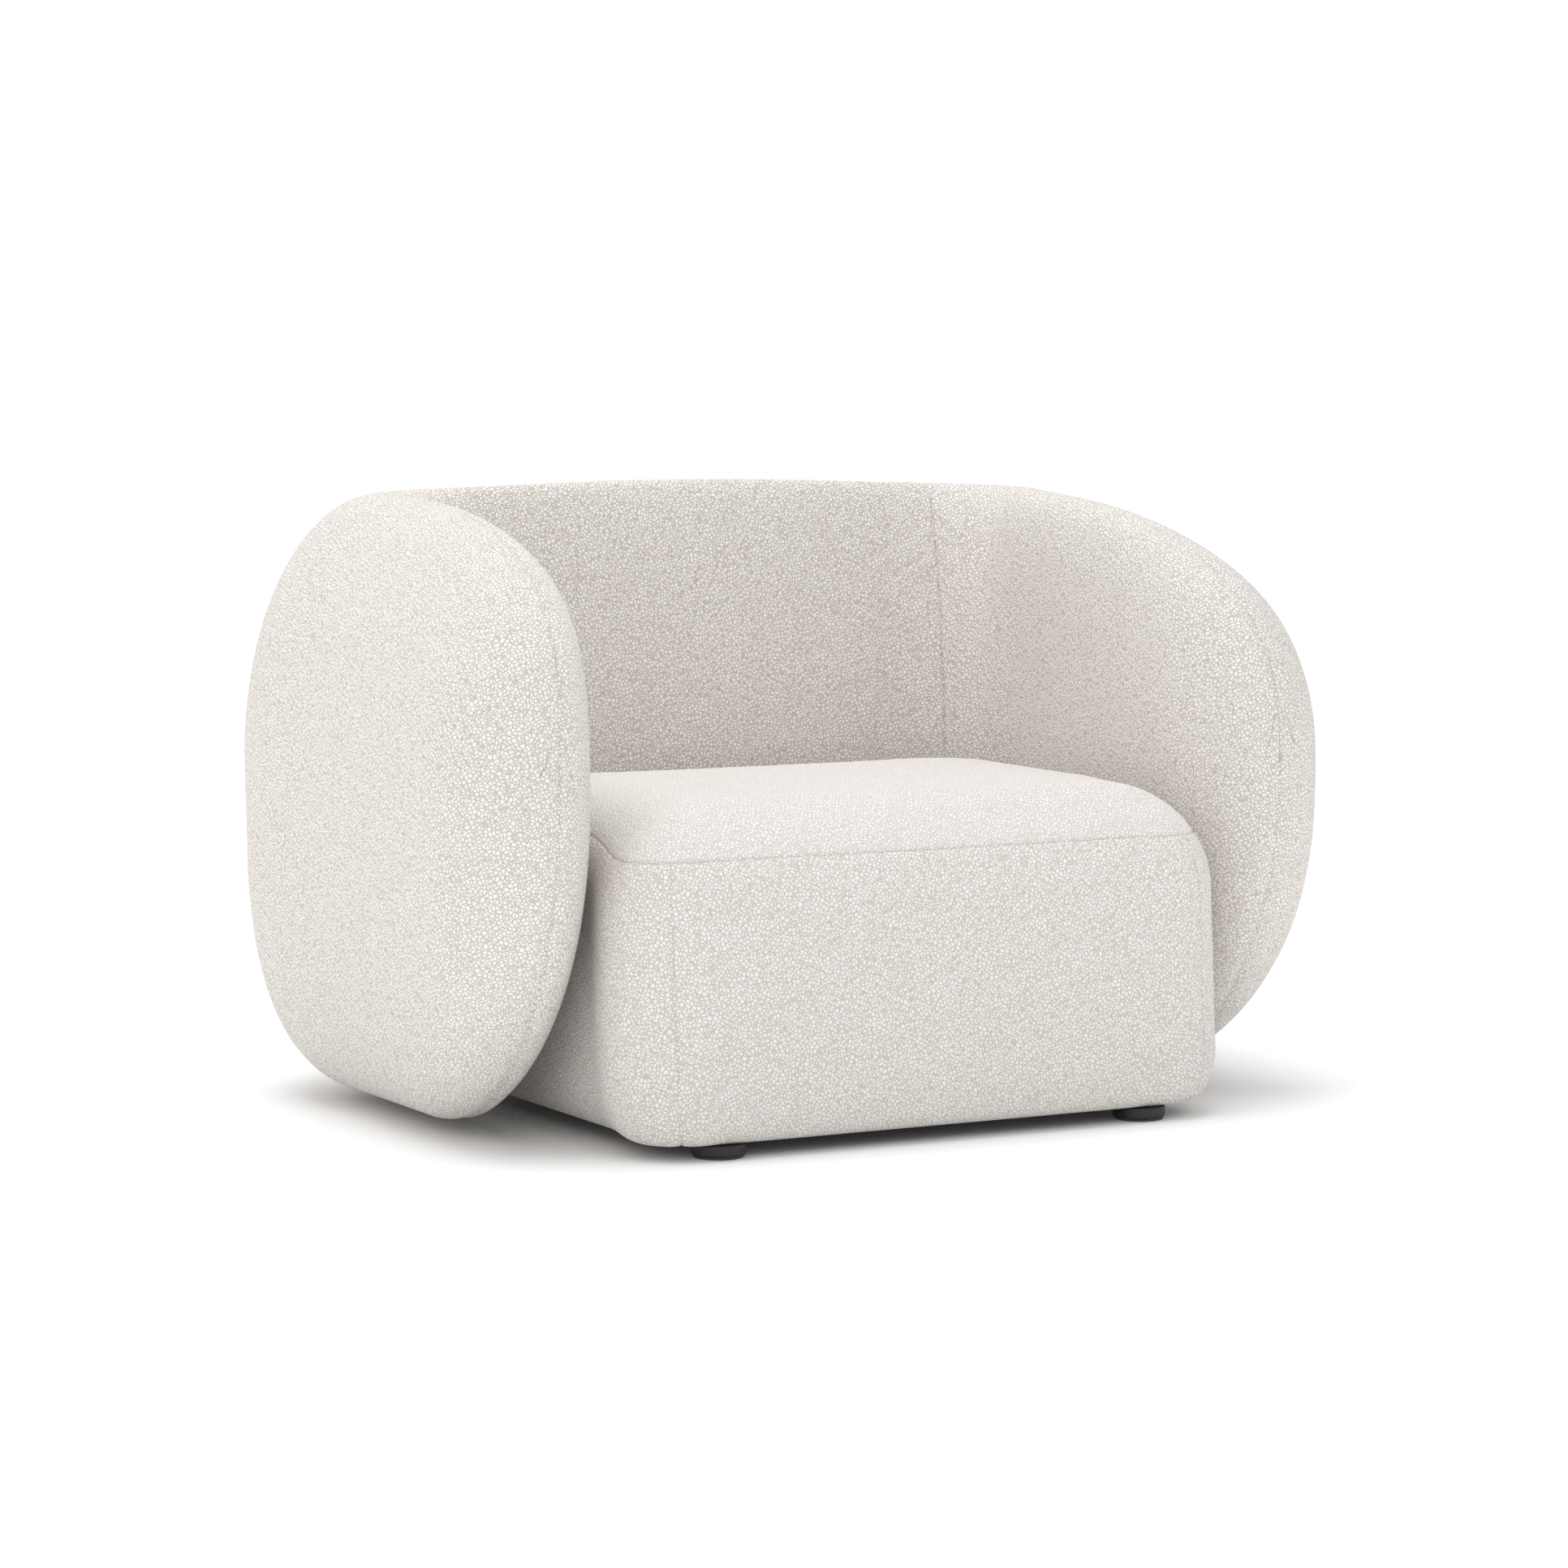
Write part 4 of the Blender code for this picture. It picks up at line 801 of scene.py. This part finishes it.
def make_seat():
    """The seat block: a sitting panel with its roll above the seam, and the base below it."""
    coarse, _ = seat_grid(GUIDE_STEP, SWELL)
    body = grid_mesh(coarse)
    close_up(body)
    swelling = Swelling(body, SEAT_VOXEL)
    fine, seam_row = seat_grid(PANEL_STEP, SWELL)
    round_seam = fine_line(fine[seam_row])
    spacing = seat_spacing(PANEL_STEP)
    corners = [fine_line(fine[len(POCKET_SHARES):seam_row + 1, column])
               for column in seam_columns(spacing, PANEL_STEP)]
    base = fine[:seam_row + 1].copy()
    top = fine[seam_row:].copy()
    base[-1, :, 2] -= SEAM_GAP
    top[0, :, 2] += SEAM_GAP
    padded_piece("seat_base", grid_mesh(base), BOUCLE_SEAT, swelling, [round_seam, *corners],
                 ["seat_cover_front", "seat_cover_left", "seat_cover_right", "seat_cover_rear",
                  "seat_foam_core"])
    padded_piece("seat_top", grid_mesh(top), BOUCLE_TOP, swelling, [round_seam],
                 ["seat_cover_top", "seat_soft_layer"])


# ---- feet and carried-over pieces ----------------------------------------------------------
FOOT_LIFT = 0.0018                       # the drum reaches up to the padding's underside
FOOT_EASE, FELT_EASE = 0.0012, 0.0008    # rounding of their edges
STUD_HOLE, STUD_BORE = 0.0045, 0.006     # radius and depth of the drum's hole
TURNED_STEPS = 96


def turned_piece(name, node, profile, finish):
    """A turned piece on the axis of the node that it stands for."""
    low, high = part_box(node)
    centre = (low + high) / 2
    bm = bmesh.new()
    points = [bm.verts.new((radius, 0.0, height)) for radius, height in profile(low, high)]
    edges = [bm.edges.new(pair) for pair in zip(points, points[1:])]
    bmesh.ops.spin(bm, geom=points + edges, cent=(0, 0, 0), axis=(0, 0, 1),
                   angle=math.tau, steps=TURNED_STEPS, use_merge=True)
    bmesh.ops.remove_doubles(bm, verts=bm.verts, dist=MERGE)
    bmesh.ops.recalc_face_normals(bm, faces=bm.faces)
    bmesh.ops.translate(bm, vec=(centre.x, centre.y, 0), verts=bm.verts)
    made = as_object(name, bm, finish)
    made.data.set_sharp_from_angle(angle=SHARP_TURNED)
    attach(made, "root")
    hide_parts(node)
    return made


def foot_profile(low, high):
    """Low drum with eased edges, hollow round the stud."""
    radius, ease_r = (high.x - low.x) / 2, FOOT_EASE
    bottom, top = low.z, high.z + FOOT_LIFT
    rows = [(0, bottom), (radius * 0.5, bottom), (radius - ease_r, bottom)]
    for turn in np.radians((30, 60, 90)):
        rows.append((radius - ease_r + ease_r * math.sin(turn), bottom + ease_r * (1 - math.cos(turn))))
    rows.append((radius, (bottom + top) / 2))
    for turn in np.radians((0, 30, 60, 90)):
        rows.append((radius - ease_r * (1 - math.cos(turn)), top - ease_r + ease_r * math.sin(turn)))
    bore = top - STUD_BORE
    return rows + [(STUD_HOLE, top), (STUD_HOLE, bore), (0, bore)]


def glide_profile(low, high):
    """Felt disc with a soft edge."""
    radius, soft = (high.x - low.x) / 2, FELT_EASE
    return [(0, low.z), (radius - soft, low.z), (radius, low.z + soft), (radius, high.z - soft),
            (radius - soft, high.z), (0, high.z)]


def make_feet():
    """Four drums and their felt glides."""
    for where in ("front_left", "front_right", "rear_left", "rear_right"):
        turned_piece(f"foot_drum_{where}", f"foot_{where}", foot_profile, FOOT_BLACK)
        turned_piece(f"foot_felt_{where}", f"foot_glide_{where}", glide_profile, FELT)


def finish_frame_nodes():
    """Give the carried-over frame, webbing, bolts and lining their own finishes."""
    finishes = (("seat_rail", WOOD), ("corner_block", WOOD), ("shell_", WOOD), ("web_", WEBBING),
                ("seat_dust_lining", LINING), ("joining_bolt", STEEL), ("foot_stud", STEEL))
    for name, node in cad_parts.items():
        for start, finish in finishes:
            if name.startswith(start):
                for slot in node.material_slots:
                    slot.material = finish


# ---- studio --------------------------------------------------------------------------------
LENS, SENSOR, FARTHEST = 103.1, 36.0, 60
EYE, AIM = (-2.506, -4.683, 0.8405), (0.0007, -0.020, 0.3689)
SURROUND = 0.72                          # the surround's light, against 1 for its looks
KEY_PLACE, KEY_AIM = (-0.65, 0.10, 4.3), (0, 0, 0.3)
KEY_SIZE, KEY_POWER = 3.2, 104.0
FLOOR_SIZE = 30.0
GLOW_FROM, GLOW_TO = (0.38, 0.01), (1.3, 0.5)   # distance and strength of the floor's glow


def make_camera():
    """Eye-level view from the chair's front left."""
    data = bpy.data.cameras.new("studio_camera")
    data.lens, data.sensor_width, data.clip_end = LENS, SENSOR, FARTHEST
    made = bpy.data.objects.new("studio_camera", data)
    bpy.context.scene.collection.objects.link(made)
    made.location = EYE
    made.rotation_euler = (Vector(AIM) - Vector(EYE)).to_track_quat('-Z', 'Y').to_euler()
    bpy.context.scene.camera = made


def make_floor():
    """Plain white floor, glowing a little away from the chair so that it meets the surround."""
    bm = bmesh.new()
    bmesh.ops.create_grid(bm, x_segments=1, y_segments=1, size=FLOOR_SIZE)
    finish = bpy.data.materials.new("studio_floor")
    finish.use_nodes = True
    shader = finish.node_tree.nodes["Principled BSDF"]
    shader.inputs["Base Color"].default_value = (0.97, 0.97, 0.97, 1)
    shader.inputs["Roughness"].default_value = 1.0
    shader.inputs["Specular IOR Level"].default_value = 0.0
    shader.inputs["Emission Color"].default_value = (1, 1, 1, 1)
    tree = finish.node_tree
    place = tree.nodes.new("ShaderNodeTexCoord").outputs["Object"]
    away = add_node(tree, "ShaderNodeVectorMath", {0: place}, operation='LENGTH').outputs["Value"]
    glow = add_node(tree, "ShaderNodeMapRange",
                    {"Value": away, "From Min": GLOW_FROM[0], "From Max": GLOW_TO[0],
                     "To Min": GLOW_FROM[1], "To Max": GLOW_TO[1]},
                    interpolation_type='SMOOTHSTEP').outputs[0]
    tree.links.new(glow, shader.inputs["Emission Strength"])
    as_object("studio_floor", bm, finish)


def make_key():
    """Broad soft light from above, a little to the left."""
    data = bpy.data.lights.new("key_above", 'AREA')
    data.shape, data.size, data.energy = 'SQUARE', KEY_SIZE, KEY_POWER
    made = bpy.data.objects.new("key_above", data)
    bpy.context.scene.collection.objects.link(made)
    made.location = KEY_PLACE
    made.rotation_euler = (Vector(KEY_AIM) - Vector(KEY_PLACE)).to_track_quat('-Z', 'Y').to_euler()


def make_lights():
    """Surround that looks pure white but lights more softly, and the key."""
    world = bpy.data.worlds.new("white_surround")
    bpy.context.scene.world = world
    world.use_nodes = True
    tree = world.node_tree
    background = tree.nodes["Background"]
    background.inputs["Color"].default_value = (1.0, 1.0, 1.0, 1)
    seen = tree.nodes.new("ShaderNodeLightPath").outputs["Is Camera Ray"]
    strength = maths(tree, 'MULTIPLY_ADD', seen, 1.0 - SURROUND, SURROUND)
    tree.links.new(strength, background.inputs["Strength"])
    make_key()
    bpy.context.scene.view_settings.view_transform = 'Standard'


make_camera()
make_shell()
make_seat()
make_feet()
finish_frame_nodes()
make_floor()
make_lights()
